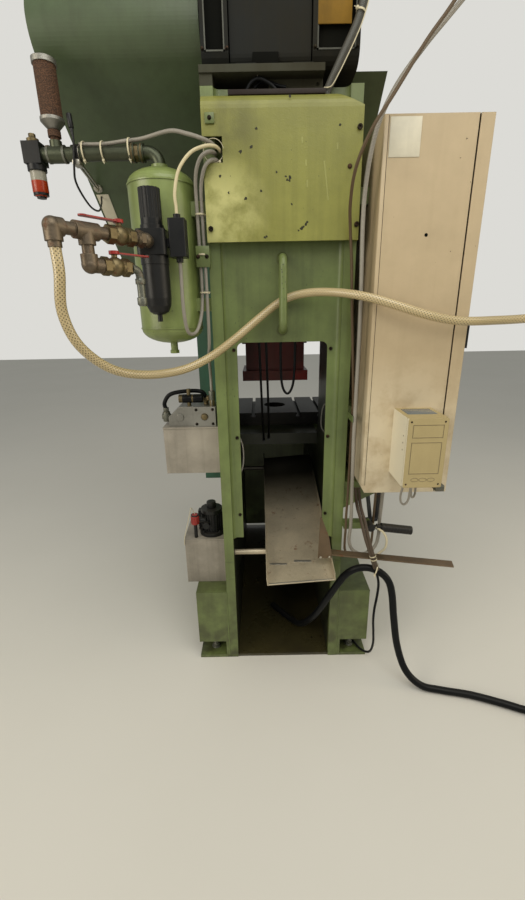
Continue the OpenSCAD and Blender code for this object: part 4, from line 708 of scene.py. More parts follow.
# A cable tie: its thickness, half its head, and its cut end's reach, slant and radius
TIE_THICK = 0.0016
TIE_HEAD = Vector((0.004, 0.0035, 0.0035))
TIE_END = (0.012, 0.003, 0.0013)


def tie(shape, centre, axis, radius, slot=0, width=0.005):
    """A cable tie with its head and its cut end."""
    way = Vector(axis).normalized()
    ring(shape, centre, way, radius, radius + TIE_THICK, width, slot, 20)
    side = way.cross(Vector((0.6, -0.7, 0.3))).normalized()
    head = Vector(centre) + side * (radius + 0.003)
    shape.box(-TIE_HEAD, TIE_HEAD, slot, 0.0008, Matrix.Translation(head) @ towards(side))
    reach, slant, thick = TIE_END
    shape.rod(head, head + side * reach + way * slant, thick, slot, 6)


def hex_head(shape, place, axis, radius, slot=0):
    """A hexagon head on its washer, in proportion to its radius."""
    place, way = Vector(place), Vector(axis).normalized()
    seat = place + way * radius * 0.22
    shape.rod(place, seat, radius * 1.4, slot, sides=24)
    shape.rod(seat, seat + way * radius, radius, slot, sides=6, bevel=radius * 0.08)


def wire(shape, route, diameter, slot=0, sides=10, steps=6):
    """A short cable or tube that is held at both of its ends."""
    shape.tube(smooth(route, steps), diameter / 2, slot, sides)


def spots(shape, places, y, height):
    """Ragged bare spots on a face that looks to the rear, each with its place and radius."""
    draw = random.Random(7)
    upright = Matrix.Rotation(math.radians(90), 4, "X")
    for x, z, radius in places:
        outline = []
        for k in range(8):
            reach = radius * draw.uniform(0.7, 1.7)
            outline.append((reach * math.cos(math.radians(45 * k)), reach * math.sin(math.radians(45 * k))))
        shape.plate(outline, height, matrix=Matrix.Translation((x, y, z)) @ upright)


def strip(shape, start, end, up, width, height, slot=0):
    """A thin straight strip that lies on a face."""
    start, end = Vector(start), Vector(end)
    way = (end - start).normalized()
    side = Vector(up).cross(way).normalized()
    turn = Matrix((way, side, way.cross(side))).transposed().to_4x4()
    shape.box((0, -width / 2, 0), ((end - start).length, width / 2, height), slot, 0.0,
              Matrix.Translation(start) @ turn)


def outlined(shape, low, high, y, line=0.0016, slot=0, height=0.0006):
    """A rectangle's outline, raised a little from a face that looks to the rear."""
    (x0, z0), (x1, z1) = low, high
    for a, b in (((x0, z0), (x1, z0 + line)), ((x0, z1 - line), (x1, z1)), ((x0, z0), (x0 + line, z1)),
                 ((x1 - line, z0), (x1, z1))):
        shape.box((a[0], y - height, a[1]), (b[0], y, b[1]), slot)


# Places, in metres

def face_at(name, axis, far=False):
    """Where a CAD node begins, or ends, along an axis, to a tenth of a millimetre."""
    node = frame["nodes"][name]
    places = [(node.matrix_world @ Vector(corner))[axis] for corner in node.bound_box]
    return round(max(places) if far else min(places), 4)


AIR_START = (-0.5878, -1.0362, 1.7137)
AIR_ROUTE = [
    (-0.5878, -1.0362, 1.702), (-0.5878, -1.0362, 1.654), (-0.604, -1.020, 1.560), (-0.584, -0.990, 1.470),
    (-0.530, -0.910, 1.395), (-0.450, -0.830, 1.366), (-0.350, -0.760, 1.370), (-0.260, -0.716, 1.405),
    (-0.170, -0.690, 1.465), (-0.080, -0.656, 1.535), (0.0, -0.642, 1.590), (0.080, -0.648, 1.612),
    (0.170, -0.680, 1.612), (0.260, -0.740, 1.596), (0.360, -0.770, 1.566), (0.460, -0.775, 1.535),
    (0.570, -0.775, 1.514), (0.700, -0.775, 1.514), (0.800, -0.775, 1.518)]
AIR_END = (0.830, -0.775, 1.518)

BLACK_START = (-0.040, -0.300, 0.0283)
BLACK_ROUTE = [
    (-0.020, -0.326, 0.0283), (0.060, -0.430, 0.034), (0.100, -0.530, 0.100), (0.150, -0.620, 0.230),
    (0.202, -0.668, 0.370), (0.236, -0.684, 0.446), (0.262, -0.692, 0.492), (0.298, -0.702, 0.526),
    (0.345, -0.711, 0.538), (0.392, -0.722, 0.526), (0.430, -0.732, 0.490), (0.449, -0.740, 0.430),
    (0.464, -0.750, 0.310), (0.484, -0.768, 0.180), (0.520, -0.796, 0.076), (0.580, -0.826, 0.024),
    (0.660, -0.845, 0.016), (0.770, -0.870, 0.016), (0.880, -0.910, 0.016), (0.960, -0.944, 0.016),
    (1.040, -0.964, 0.016), (1.110, -0.970, 0.016)]
BLACK_END = (1.130, -0.970, 0.016)
COIL_CENTRE = (1.130, -1.150, 0.016)
COIL_TURNS = [(0, 0.180), (270, 0.180), (360, 0.150), (500, 0.150), (610, 0.107)]

CONDUIT_TOP = (0.500, -0.770, 2.400)
CONDUIT_ROUTE = [
    (0.500, -0.770, 2.380), (0.496, -0.770, 2.361), (0.486, -0.770, 2.344), (0.470, -0.769, 2.326),
    (0.434, -0.769, 2.288), (0.380, -0.768, 2.230), (0.316, -0.767, 2.150), (0.274, -0.762, 2.070),
    (0.256, -0.745, 1.990), (0.250, -0.724, 1.900), (0.252, -0.708, 1.800), (0.259, -0.700, 1.640),
    (0.262, -0.700, 1.480), (0.2623, -0.700, 1.240), (0.2623, -0.700, 1.172), (0.2623, -0.700, 1.100),
    (0.265, -0.700, 0.980), (0.271, -0.686, 0.850), (0.276, -0.674, 0.760), (0.277, -0.668, 0.700),
    (0.275, -0.663, 0.650), (0.284, -0.659, 0.606), (0.308, -0.656, 0.578), (0.340, -0.654, 0.568),
    (0.372, -0.650, 0.578), (0.396, -0.642, 0.606), (0.406, -0.635, 0.650), (0.407, -0.631, 0.710),
    (0.408, -0.635, 0.800), (0.406, -0.645, 0.856)]
CONDUIT_END = (0.406, -0.645, 0.8867)

CABLE_TOP = (0.480, -0.812, 2.400)
CABLE_ROUTE = [
    (0.480, -0.812, 2.382), (0.477, -0.812, 2.364), (0.468, -0.812, 2.348), (0.452, -0.811, 2.326),
    (0.418, -0.809, 2.280), (0.370, -0.806, 2.220), (0.296, -0.803, 2.110), (0.243, -0.798, 2.033),
    (0.210, -0.765, 1.950), (0.208, -0.716, 1.870), (0.218, -0.684, 1.800), (0.230, -0.672, 1.700),
    (0.240, -0.668, 1.550), (0.252, -0.667, 1.380), (0.2603, -0.667, 1.240), (0.2603, -0.667, 1.172),
    (0.2603, -0.667, 1.100), (0.260, -0.667, 0.980), (0.259, -0.668, 0.850), (0.257, -0.668, 0.760),
    (0.258, -0.667, 0.700), (0.258, -0.662, 0.640), (0.262, -0.655, 0.590), (0.280, -0.648, 0.560),
    (0.318, -0.641, 0.545), (0.356, -0.638, 0.560), (0.374, -0.636, 0.592), (0.380, -0.633, 0.650),
    (0.380, -0.632, 0.740), (0.379, -0.640, 0.820), (0.378, -0.645, 0.860)]
CABLE_END = (0.378, -0.645, 0.8867)


def coil_points(step=15):
    """The turns of the coil, clockwise from where the hose meets it."""
    points = []
    centre = Vector(COIL_CENTRE)
    for turned in range(step, COIL_TURNS[-1][0] + 1, step):
        after = next(i for i, (angle, _) in enumerate(COIL_TURNS) if angle >= turned)
        (a0, r0), (a1, r1) = COIL_TURNS[after - 1], COIL_TURNS[after]
        part = (turned - a0) / (a1 - a0)
        radius = r0 + (r1 - r0) * part * part * (3 - 2 * part)
        angle = math.radians(90 - turned)
        points.append(centre + radius * Vector((math.cos(angle), math.sin(angle), 0)))
    return points


# Hoses and cables

def cord_piece(name, points, diameter, material, sides, node, slot, **facts):
    """A free hose or cable as a tube along its route, in place of its CAD solids."""
    shape = Shape()
    shape.tube(points, diameter / 2, 0, sides)
    piece = shape.done(name, "frame", [material], TUBE_EDGE)
    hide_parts(*node)
    return piece


def build_air_hose(made, sizes):
    """The braided air hose, from the inlet elbow past the handle and off to the right."""
    points = led(AIR_START, AIR_ROUTE, AIR_END)
    cord_piece("braided_air_hose", points, sizes.air_hose, made["hose_braid"], sizes.sides, ["air_hose"],
               "hose_braid", far_end="connector", stiffness="stiff", lay="hanging",
               with_pieces=[frame["nodes"]["air_hose_coupling"]])


def build_black_hose(made, sizes):
    """The black hose and its coil on the floor."""
    points = led(BLACK_START, BLACK_ROUTE, BLACK_END) + coil_points()
    cord_piece("black_hose_whole", points, sizes.black_hose, made["hose_black"], sizes.sides,
               ["black_hose", "black_hose_coil"], "hose_black", far_end="connector", stiffness="stiff",
               lay="coiled", with_pieces=[frame["nodes"]["black_hose_connector"]])


def build_supply_lines(made, sizes):
    """The supply conduit and the supply cable, from the cabinet's glands up to the ceiling."""
    conduit = list(reversed(led(CONDUIT_TOP, CONDUIT_ROUTE, CONDUIT_END)))
    cord_piece("supply_conduit_round", conduit, sizes.conduit, made["cable_grey"], sizes.sides,
               ["supply_conduit"], "cable_grey", far_end="fitting", stiffness="medium", lay="hanging",
               with_pieces=[frame["nodes"]["ceiling_fitting"]])
    cable = list(reversed(led(CABLE_TOP, CABLE_ROUTE, CABLE_END)))
    cord_piece("supply_cable_round", cable, sizes.cable, made["cable_brown"], sizes.sides, ["supply_cable"],
               "cable_brown", far_end="fitting", stiffness="medium", lay="hanging",
               with_pieces=[frame["nodes"]["ceiling_fitting"]])


# Cables that the press holds

HELD_ROUTES = [
    [(-0.212, -0.636, 2.048), (-0.218, -0.658, 2.050), (-0.234, -0.676, 2.054), (-0.258, -0.684, 2.060),
     (-0.292, -0.676, 2.072), (-0.352, -0.640, 2.093), (-0.452, -0.585, 2.093), (-0.514, -0.579, 2.089),
     (-0.582, -0.575, 2.0833), (-0.662, -0.575, 2.0833)],
    [(-0.212, -0.636, 2.030), (-0.218, -0.658, 2.029), (-0.232, -0.676, 2.024), (-0.252, -0.684, 2.010),
     (-0.268, -0.678, 1.984), (-0.277, -0.662, 1.950), (-0.280, -0.646, 1.900), (-0.280, -0.642, 1.800),
     (-0.280, -0.642, 1.600), (-0.298, -0.670, 1.500), (-0.324, -0.714, 1.490), (-0.331, -0.742, 1.560),
     (-0.331, -0.742, 1.682), (-0.331, -0.742, 1.7057)],
    [(-0.206, -0.636, 2.010), (-0.212, -0.656, 2.009), (-0.226, -0.670, 2.003), (-0.242, -0.676, 1.988),
     (-0.254, -0.670, 1.962), (-0.262, -0.655, 1.930), (-0.264, -0.642, 1.880), (-0.264, -0.642, 1.800),
     (-0.264, -0.642, 1.480), (-0.276, -0.582, 1.400), (-0.284, -0.500, 1.310), (-0.284, -0.500, 1.270),
     (-0.284, -0.500, 1.2503)]]
CREAM_ROUTE = [
    (-0.196, -0.640, 2.036), (-0.200, -0.664, 2.036), (-0.212, -0.694, 2.034), (-0.240, -0.716, 2.026),
    (-0.280, -0.728, 2.006), (-0.316, -0.738, 1.960), (-0.331, -0.746, 1.900), (-0.331, -0.742, 1.862),
    (-0.331, -0.742, 1.8423)]
CREAM_CABLE = 0.010

# Each tie on the header: x, z and radius. Ties down the column: their heights, and x, y and radius
HEADER_TIES = ((-0.647, 2.0622, 0.0278), (-0.496, 2.066, 0.0315), (-0.585, 2.0622, 0.0278))
COLUMN_TIES = (1.86, 1.74, 1.62)
COLUMN_TIE = (-0.272, -0.642, 0.0142)
CUTOUT_TIE = ((-0.216, -0.657, 2.033), (0, 1, 0.1), 0.031)


def build_held_cables(made, sizes):
    """The grey cables and the cream one between cut-out, header, switch and oil unit, with their ties."""
    shape = Shape()
    for route in HELD_ROUTES:
        wire(shape, route, sizes.held, sides=12)
    wire(shape, CREAM_ROUTE, CREAM_CABLE, slot=1, sides=12)
    piece = shape.done("held_cables_round", "frame", [made["cable_grey"], made["cable_cream"]], TUBE_EDGE)
    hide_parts("held_cables")

    shape = Shape()
    for x, z, radius in HEADER_TIES:
        tie(shape, (x, HEADER_Y, z), RIGHT, radius, width=sizes.strap)
    x, y, radius = COLUMN_TIE
    for z in COLUMN_TIES:
        tie(shape, (x, y, z), UP, radius, width=sizes.strap)
    tie(shape, *CUTOUT_TIE, width=sizes.strap)
    shape.done("cable_ties", "frame", [made["tie_pale"]])


# Frame, feet and rear cover

COLUMN_X = (face_at("side_plate_right", 0), face_at("side_plate_right", 0, True))
REAR_Y = face_at("side_plate_right", 1)
WALL_REAR = -0.606
ANCHOR = (0.321, 0.570)
FLANGE_TOP = 0.014
STUD_LOW, STUD_HIGH = 0.001, 0.066
THREAD_LOW, THREAD_PITCH, THREAD_RINGS = 0.040, 0.0025, 10
WASHER_RADIUS, WASHER_HIGH = 0.021, 0.004
NUT_RADIUS, NUT_HIGH = 0.0165, 0.020

# Weld beads: along the shelf, from and to behind the rear edge and the height; up the column, both ends
SHELF_BEAD = (0.004, 0.296, 0.364)
COLUMN_BEAD = (0.016, 0.362)
SPLICES = (0.438, 0.522)

# How full the beads of the columns and splices are, next to the shelf's
COLUMN_SHARE, SPLICE_SHARE = 0.8, 0.5

HANDLE_ENDS = (1.4895, 1.7265)
COLLAR = [(0.0215, 0), (0.0185, 0.002), (0.0155, 0.005), (0.0136, 0.009)]
COVER_Y = face_at("rear_cover", 1)

# On the cover: each spot's x, z and radius, and each scuff's two ends
COVER_SPOTS = (
    (-0.081, 2.088, 0.004), (-0.097, 2.041, 0.005), (-0.132, 2.028, 0.004), (-0.019, 1.972, 0.003),
    (0.010, 1.960, 0.003), (0.023, 1.957, 0.004), (0.014, 1.950, 0.003), (0.022, 1.948, 0.003),
    (-0.069, 1.920, 0.003), (-0.120, 1.899, 0.004), (0.029, 1.882, 0.003), (0.081, 1.829, 0.003),
    (0.075, 1.822, 0.004), (0.068, 1.817, 0.003), (0.062, 1.812, 0.004), (0.052, 1.805, 0.003),
    (-0.060, 1.787, 0.004), (-0.054, 1.790, 0.003), (-0.199, 1.964, 0.004), (-0.174, 1.917, 0.003),
    (0.176, 2.094, 0.003), (0.023, 2.168, 0.003))
COVER_SCUFFS = (((0.060, 2.065), (0.061, 2.048)), ((0.073, 2.004), (0.074, 1.987)),
                ((0.131, 2.000), (0.147, 1.891)), ((0.171, 2.047), (0.172, 2.030)),
                ((0.078, 1.949), (0.079, 1.928)))
SCUFF_WIDTH = 0.0052
SCUFF_HEIGHT = 0.0003
COVER_SCREW = (0.212, 1.984)

# The clamp plate and its leg, with their bolts, and the tab at the cover's upper left
CLAMP = ((-0.292, -0.6535, 1.700), (-0.246, -0.6495, 1.766))
CLAMP_LEG = ((-0.2505, -0.650, 1.700), (-0.246, -0.630, 1.766))
CLAMP_BOLTS = (-0.285, -0.2555)
CLAMP_HEAD, TAB_HEAD, COVER_HEAD = 0.0048, 0.0045, 0.0052
TAB = ((-0.238, 2.101), (-0.209, 2.130))
TAB_THICK = 0.007


def stud(shape, x, y, radius):
    """An anchor stud with its thread, washer and nut."""
    shape.rod((x, y, STUD_LOW), (x, y, STUD_HIGH), radius, sides=20, bevel=0.001)
    for i in range(THREAD_RINGS):
        ring(shape, (x, y, THREAD_LOW + THREAD_PITCH * i), UP, radius - 0.0005, radius + 0.0006,
             THREAD_PITCH * 0.48, sides=16)
    nut_low = FLANGE_TOP + WASHER_HIGH
    shape.rod((x, y, FLANGE_TOP), (x, y, nut_low), WASHER_RADIUS, sides=28, bevel=0.0006)
    shape.rod((x, y, nut_low), (x, y, FLANGE_TOP + NUT_HIGH), NUT_RADIUS, sides=6, bevel=0.001)


def build_frame_details(made, sizes):
    """Anchor studs, weld beads, the handle's collars, a clamp plate, and what is on the rear cover."""
    shape = Shape()
    for x in (-ANCHOR[0], ANCHOR[0]):
        for y in (-ANCHOR[1], ANCHOR[1]):
            stud(shape, x, y, sizes.anchor / 2)
    shape.done("anchor_studs", "frame", [made["pipe_steel"]])

    shape = Shape()
    bead = sizes.bead / 2
    near, far, high = SHELF_BEAD
    for side in (-1, 1):
        inner, outer = side * COLUMN_X[0], side * COLUMN_X[1]
        for z in SPLICES:
            shape.rod((inner, REAR_Y, z), (outer, REAR_Y, z), bead * SPLICE_SHARE, sides=8)
        shape.rod((outer, REAR_Y + near, high), (outer, REAR_Y + far, high), bead, sides=8)
        shape.rod((outer, REAR_Y, COLUMN_BEAD[0]), (outer, REAR_Y, COLUMN_BEAD[1]), bead * COLUMN_SHARE,
                  sides=8)
    for z in HANDLE_ENDS:
        shape.lathe((0, WALL_REAR, z), REAR, COLLAR, sides=24)
    shape.done("weld_beads", "frame", [made["weld_bead"]], TUBE_EDGE)

    shape = Shape()
    shape.box(*CLAMP, bevel=0.0008)
    shape.box(*CLAMP_LEG, bevel=0.0006)
    middle = (Vector(CLAMP[0]) + Vector(CLAMP[1])) / 2
    for x in CLAMP_BOLTS:
        hex_head(shape, (x, CLAMP[0][1], middle.z), REAR, CLAMP_HEAD, slot=1)
    (x0, z0), (x1, z1) = TAB
    shape.box((x0, COVER_Y - TAB_THICK, z0), (x1, COVER_Y, z1), bevel=0.002)
    hex_head(shape, ((x0 + x1) / 2, COVER_Y - TAB_THICK, (z0 + z1) / 2), REAR, TAB_HEAD, slot=1)
    shape.done("cable_clamps", "frame", [made["frame_paint"], made["screw_steel"]])

    shape = Shape()
    spots(shape, COVER_SPOTS, COVER_Y, SCUFF_HEIGHT)
    for (x0, z0), (x1, z1) in COVER_SCUFFS:
        strip(shape, (x0, COVER_Y, z0), (x1, COVER_Y, z1), REAR, SCUFF_WIDTH, SCUFF_HEIGHT, slot=1)
    hex_head(shape, (COVER_SCREW[0], COVER_Y, COVER_SCREW[1]), REAR, COVER_HEAD, slot=2)
    shape.done("cover_marks", "frame", [made["bare_spot"], made["scuff_pale"], made["screw_steel"]])


# Motor

# Where details sit on the motor, 2 mm in from its outermost point, and the back of its windows
MOTOR_FACE = -0.598
WINDOW_BACK = -0.585

# Each window's x, half width and half height
MOTOR_WINDOWS = ((-0.204, 0.027, 0.116), (0.168, 0.055, 0.116))
MOTOR_WINDOW_Z = 2.428
MOTOR_PLATE = ((0.110, 2.368), (0.211, 2.462))
LEAD_ROUTE = [
    (0.226, -0.592, 2.476), (0.231, -0.618, 2.472), (0.236, -0.638, 2.452), (0.238, -0.645, 2.420),
    (0.234, -0.645, 2.392), (0.219, -0.642, 2.346), (0.200, -0.640, 2.309), (0.181, -0.638, 2.274),
    (0.165, -0.634, 2.243), (0.150, -0.626, 2.216), (0.139, -0.619, 2.190), (0.134, -0.6165, 2.150),
    (0.130, -0.6165, 2.110)]
LEAD_DIAMETER = 0.025
LEAD_TIE = ((0.228, -0.645, 2.372), (-0.3, 0, -1), LEAD_DIAMETER / 2 + 0.0003)
FINE_WIRE = 0.0032
THIN_HOSE = 0.0105
LEAD_WIRE = [
    (0.238, -0.624, 2.480), (0.247, -0.652, 2.456), (0.250, -0.659, 2.420), (0.245, -0.659, 2.385),
    (0.231, -0.656, 2.342), (0.211, -0.654, 2.300), (0.190, -0.650, 2.262), (0.170, -0.645, 2.228),
    (0.150, -0.6385, 2.2005), (0.128, -0.632, 2.199)]
UNDER_HOSES = (
    [(-0.118, -0.6165, 2.140), (-0.112, -0.6165, 2.190), (-0.098, -0.6165, 2.218), (-0.074, -0.6165, 2.231),
     (-0.048, -0.6165, 2.224), (-0.018, -0.6165, 2.202), (0.012, -0.6165, 2.150)],
    [(-0.086, -0.600, 2.214), (-0.066, -0.598, 2.2305), (-0.040, -0.598, 2.229), (-0.006, -0.600, 2.2185),
     (0.014, -0.602, 2.2145)])

# A window's bolts: beyond its side, below its middle, and their radius
WINDOW_BOLTS = (0.010, 0.112, 0.004)
WINDOW_RIM, WINDOW_LINE, WINDOW_THICK = 0.004, 0.0045, 0.0008

# The dark block at the motor's foot, which is painted shade in the recess there, the hoses' pin, and the
# dark brown strip on the cover's upper edge, darkened as painted shade
UNDER_SHADE_BLOCK = ((-0.0885, -0.5925, 2.262), (-0.009, -0.560, 2.309))
PLATE_THICK = 0.003
HOSE_PIN = ((-0.0745, -0.6165, 2.228), (-0.0745, -0.6165, 2.240))
PIN_RADIUS = 0.0015
COVER_EDGE_SHADE = ((-0.166, -0.640, 2.1825), (0.133, -0.6245, 2.196))


def build_motor_details(made, sizes):
    """Dark windows, the bare yellow plate, the lead with its tie, the hoses under the motor, a dark block of
    painted shade at the motor's foot, and the cover's dark brown upper edge, darkened as painted shade.
    """
    shape = Shape()
    beyond, below, head = WINDOW_BOLTS
    for x, wide, high in MOTOR_WINDOWS:
        low, top = MOTOR_WINDOW_Z - high, MOTOR_WINDOW_Z + high
        shape.box((x - wide, WINDOW_BACK - WINDOW_THICK, low), (x + wide, WINDOW_BACK, top))
        outlined(shape, (x - wide - WINDOW_RIM, low - WINDOW_RIM), (x + wide + WINDOW_RIM, top + WINDOW_RIM),
                 MOTOR_FACE, WINDOW_LINE, slot=2)
        for side in (-1, 1):
            place = (x + side * (wide + beyond), MOTOR_FACE, MOTOR_WINDOW_Z - below)
            hex_head(shape, place, REAR, head, slot=1)
    # A dark block standing for the shade in the recess under the motor
    shape.box(*UNDER_SHADE_BLOCK, bevel=0.002)
    shape.done("motor_windows", "frame", [made["motor_dark"], made["screw_steel"], made["motor_edge"]])

    shape = Shape()
    (x0, z0), (x1, z1) = MOTOR_PLATE
    shape.box((x0, MOTOR_FACE - PLATE_THICK, z0), (x1, MOTOR_FACE, z1), bevel=0.0008)
    shape.done("motor_plate_bare", "frame", [made["yellow_plate"]])

    shape = Shape()
    wire(shape, LEAD_ROUTE, LEAD_DIAMETER, sides=14, steps=8)
    shape.done("motor_lead", "frame", [made["lead_grey"]], TUBE_EDGE)

    shape = Shape()
    wire(shape, LEAD_WIRE, FINE_WIRE, sides=8, steps=8)
    tie(shape, *LEAD_TIE, width=sizes.strap)
    shape.done("earth_wire", "frame", [made["tie_pale"]], TUBE_EDGE)

    shape = Shape()
    for route in UNDER_HOSES:
        wire(shape, route, THIN_HOSE, sides=12)
    shape.rod(*HOSE_PIN, PIN_RADIUS, slot=1, sides=8)
    shape.done("hoses_under_motor", "frame", [made["hose_black"], made["bright_steel"]], TUBE_EDGE)

    # The cover's upper edge: brown of its own, darkened as painted shade
    shape = Shape()
    shape.box(*COVER_EDGE_SHADE, bevel=0.001)
    shape.done("cover_edge_shaded_strip", "frame", [made["rubber_brown"]])


# Inside the opening

DISTRIBUTOR = ((-0.105, -0.594, 1.620), (0.105, -0.560, 1.680))
LOOP_HOSE = [
    (0.000, -0.577, 1.620), (0.000, -0.572, 1.570), (-0.002, -0.548, 1.480), (-0.002, -0.520, 1.380),
    (0.001, -0.506, 1.300), (0.009, -0.500, 1.255), (0.024, -0.498, 1.234), (0.038, -0.500, 1.243),
    (0.049, -0.504, 1.275), (0.053, -0.516, 1.330), (0.054, -0.540, 1.440), (0.052, -0.570, 1.560),
    (0.052, -0.577, 1.620)]
DROP_HOSES = (
    [(-0.060, -0.577, 1.620), (-0.060, -0.570, 1.560), (-0.057, -0.500, 1.380), (-0.052, -0.400, 1.220),
     (-0.048, -0.260, 1.060), (-0.046, -0.140, 0.950), (-0.046, -0.068, 0.914)],
    [(-0.088, -0.577, 1.620), (-0.088, -0.570, 1.560), (-0.084, -0.500, 1.380), (-0.080, -0.400, 1.210),
     (-0.076, -0.260, 1.040), (-0.072, -0.140, 0.935), (-0.072, -0.068, 0.904)])
WALL_WIRES = (
    [(0.206, -0.560, 1.195), (0.190, -0.556, 1.206), (0.172, -0.552, 1.196), (0.163, -0.550, 1.160),
     (0.162, -0.550, 1.112), (0.172, -0.552, 1.086), (0.190, -0.556, 1.074), (0.206, -0.560, 1.080)],
    [(-0.206, -0.560, 1.090), (-0.186, -0.556, 1.082), (-0.168, -0.552, 1.050), (-0.160, -0.550, 1.000),
     (-0.164, -0.552, 0.940), (-0.182, -0.556, 0.896), (-0.206, -0.560, 0.880)])
OIL_HOSE = 0.010
PORT_RADIUS, PORT_HIGH = 0.008, 0.016

# The fitting at a drop hose's end: from, to and radius
DROP_END = (0.002, 0.014, 0.009)
CLIP_IN, CLIP_OUT, CLIP_HALF = 0.008, 0.006, 0.008


def build_inside(made, sizes):
    """Oil distributor behind the wall, its hoses, and the wires clipped to the side plates."""
    shape = Shape()
    shape.box(*DISTRIBUTOR, slot=1, bevel=0.002)
    hoses = (LOOP_HOSE, *DROP_HOSES)
    for route in hoses:
        wire(shape, route, OIL_HOSE, sides=12)
    for x, y, z in [route[0] for route in hoses] + [LOOP_HOSE[-1]]:
        shape.rod((x, y, z - PORT_HIGH), (x, y, z), PORT_RADIUS, slot=1, sides=6)
    near, far, radius = DROP_END
    for route in DROP_HOSES:
        x, y, z = route[-1]
        shape.rod((x, y - far, z), (x, y - near, z), radius, slot=1, sides=6)
    shape.done("oil_hoses", "frame", [made["hose_black"], made["cast_iron"]], TUBE_EDGE)

    shape = Shape()
    for slot, route in ((2, WALL_WIRES[0]), (0, WALL_WIRES[1])):
        wire(shape, route, sizes.wire, slot)
        for x, y, z in (route[0], route[-1]):
            near, far = (x - CLIP_IN, x + CLIP_OUT) if x > 0 else (x - CLIP_OUT, x + CLIP_IN)
            shape.box((near, y - CLIP_HALF, z - CLIP_HALF), (far, y + CLIP_HALF, z + CLIP_HALF), slot=1,
                      bevel=0.001)
    shape.done("wall_wires", "frame", [made["cable_grey"], made["cast_iron"], made["lead_grey"]], TUBE_EDGE)


# Air unit

HEADER_Y = -0.575
HEADER_Z = 2.056
SILENCER = (-0.738, HEADER_Y, 2.093)
LUBRICATOR = (-0.812, HEADER_Y, 2.056)
GUARD_SLOPE = Vector((0, -0.62, -0.79)).normalized()
GUARD_PLATE = (-0.745, -0.097, 1.996)
SENSOR_WIRE = [
    (-0.672, -0.600, 2.148), (-0.668, -0.6035, 2.110), (-0.669, -0.606, 2.068), (-0.678, -0.604, 2.010),
    (-0.684, -0.592, 1.975), (-0.686, -0.540, 1.945), (-0.696, -0.440, 1.930), (-0.718, -0.300, 1.950),
    (-0.742, -0.190, 2.000), (-0.752, -0.150, 2.034)]

# The sensor's top, neck and low end, with their radii, and the clip's radii and width
SENSOR = ((-0.6735, -0.600, 2.158), (-0.6705, -0.602, 2.118), (-0.669, -0.603, 2.098))
SENSOR_RADII = (0.0085, 0.0062, 0.0045)
SENSOR_CLIP = (-0.669, -0.578, 2.057)
CLIP_RING = (0.0212, 0.0258, 0.014)

OUTLET = [
    (-0.4475, -0.876, 1.677), (-0.442, -0.869, 1.676), (-0.435, -0.860, 1.670), (-0.4325, -0.857, 1.655),
    (-0.4325, -0.857, 1.635), (-0.4325, -0.857, 1.575)]
OUTLET_TUBE = 0.023
OUTLET_NUTS = (((-0.4325, -0.857, 1.636), 0.016), ((-0.4325, -0.857, 1.578), 0.022))
OUTLET_NUT_RADIUS = 0.0148
STAY = ((-0.672, -0.580, 2.034), (-0.752, -0.180, 2.058))
STAY_ROD, STAY_APART = 0.0042, 0.008
STAY_RING = (0.0212, 0.0246, 0.022)
STAY_FOOT = ((-0.684, -0.600, 2.020), (-0.660, -0.560, 2.036))

# The disc at the stay's far end: from, to and radius. The guard's plate: width, height, corner, thickness
STAY_DISC = (-0.010, 0.004, 0.018)
PLATE_SIZE = (0.052, 0.150, 0.003, 0.002)

# Turned profiles, as pairs of radius and height
SILENCER_FOOT = [(0.0155, 0.029), (0.0208, 0.0335), (0.0368, 0.0515), (0.0368, 0.0606), (0.0336, 0.0612)]
SILENCER_CAP = [(0.0336, 0.199), (0.0366, 0.1995), (0.0366, 0.2138), (0.030, 0.2139), (0, 0.2139)]
BOWL = [(0.0248, -0.047), (0.0248, -0.076)]
BOWL_OIL = [(0.0250, -0.076), (0.0250, -0.108), (0.0215, -0.117), (0.0155, -0.121)]
BOWL_COLLAR = [(0.0296, -0.031), (0.0296, -0.047), (0.025, -0.0484)]
FILLER = [(0.0187, 0.0322), (0.0187, 0.044), (0.014, 0.0462)]

# The nut on the filler: from, to and radius
FILLER_NUT = (0.046, 0.0588, 0.0112)

# Unions of the header: the nut's ends and radius, and each ring's x, outer radius, width and slot
PIPE_RADIUS = 0.0205
HEADER_NUT = (-0.4895, -0.4645, 0.0256)
HEADER_RINGS = ((-0.459, 0.0274, 0.006, 0), (-0.489, 0.0274, 0.006, 0),
                (-0.712, 0.0262, 0.007, 1), (-0.764, 0.0262, 0.007, 1))


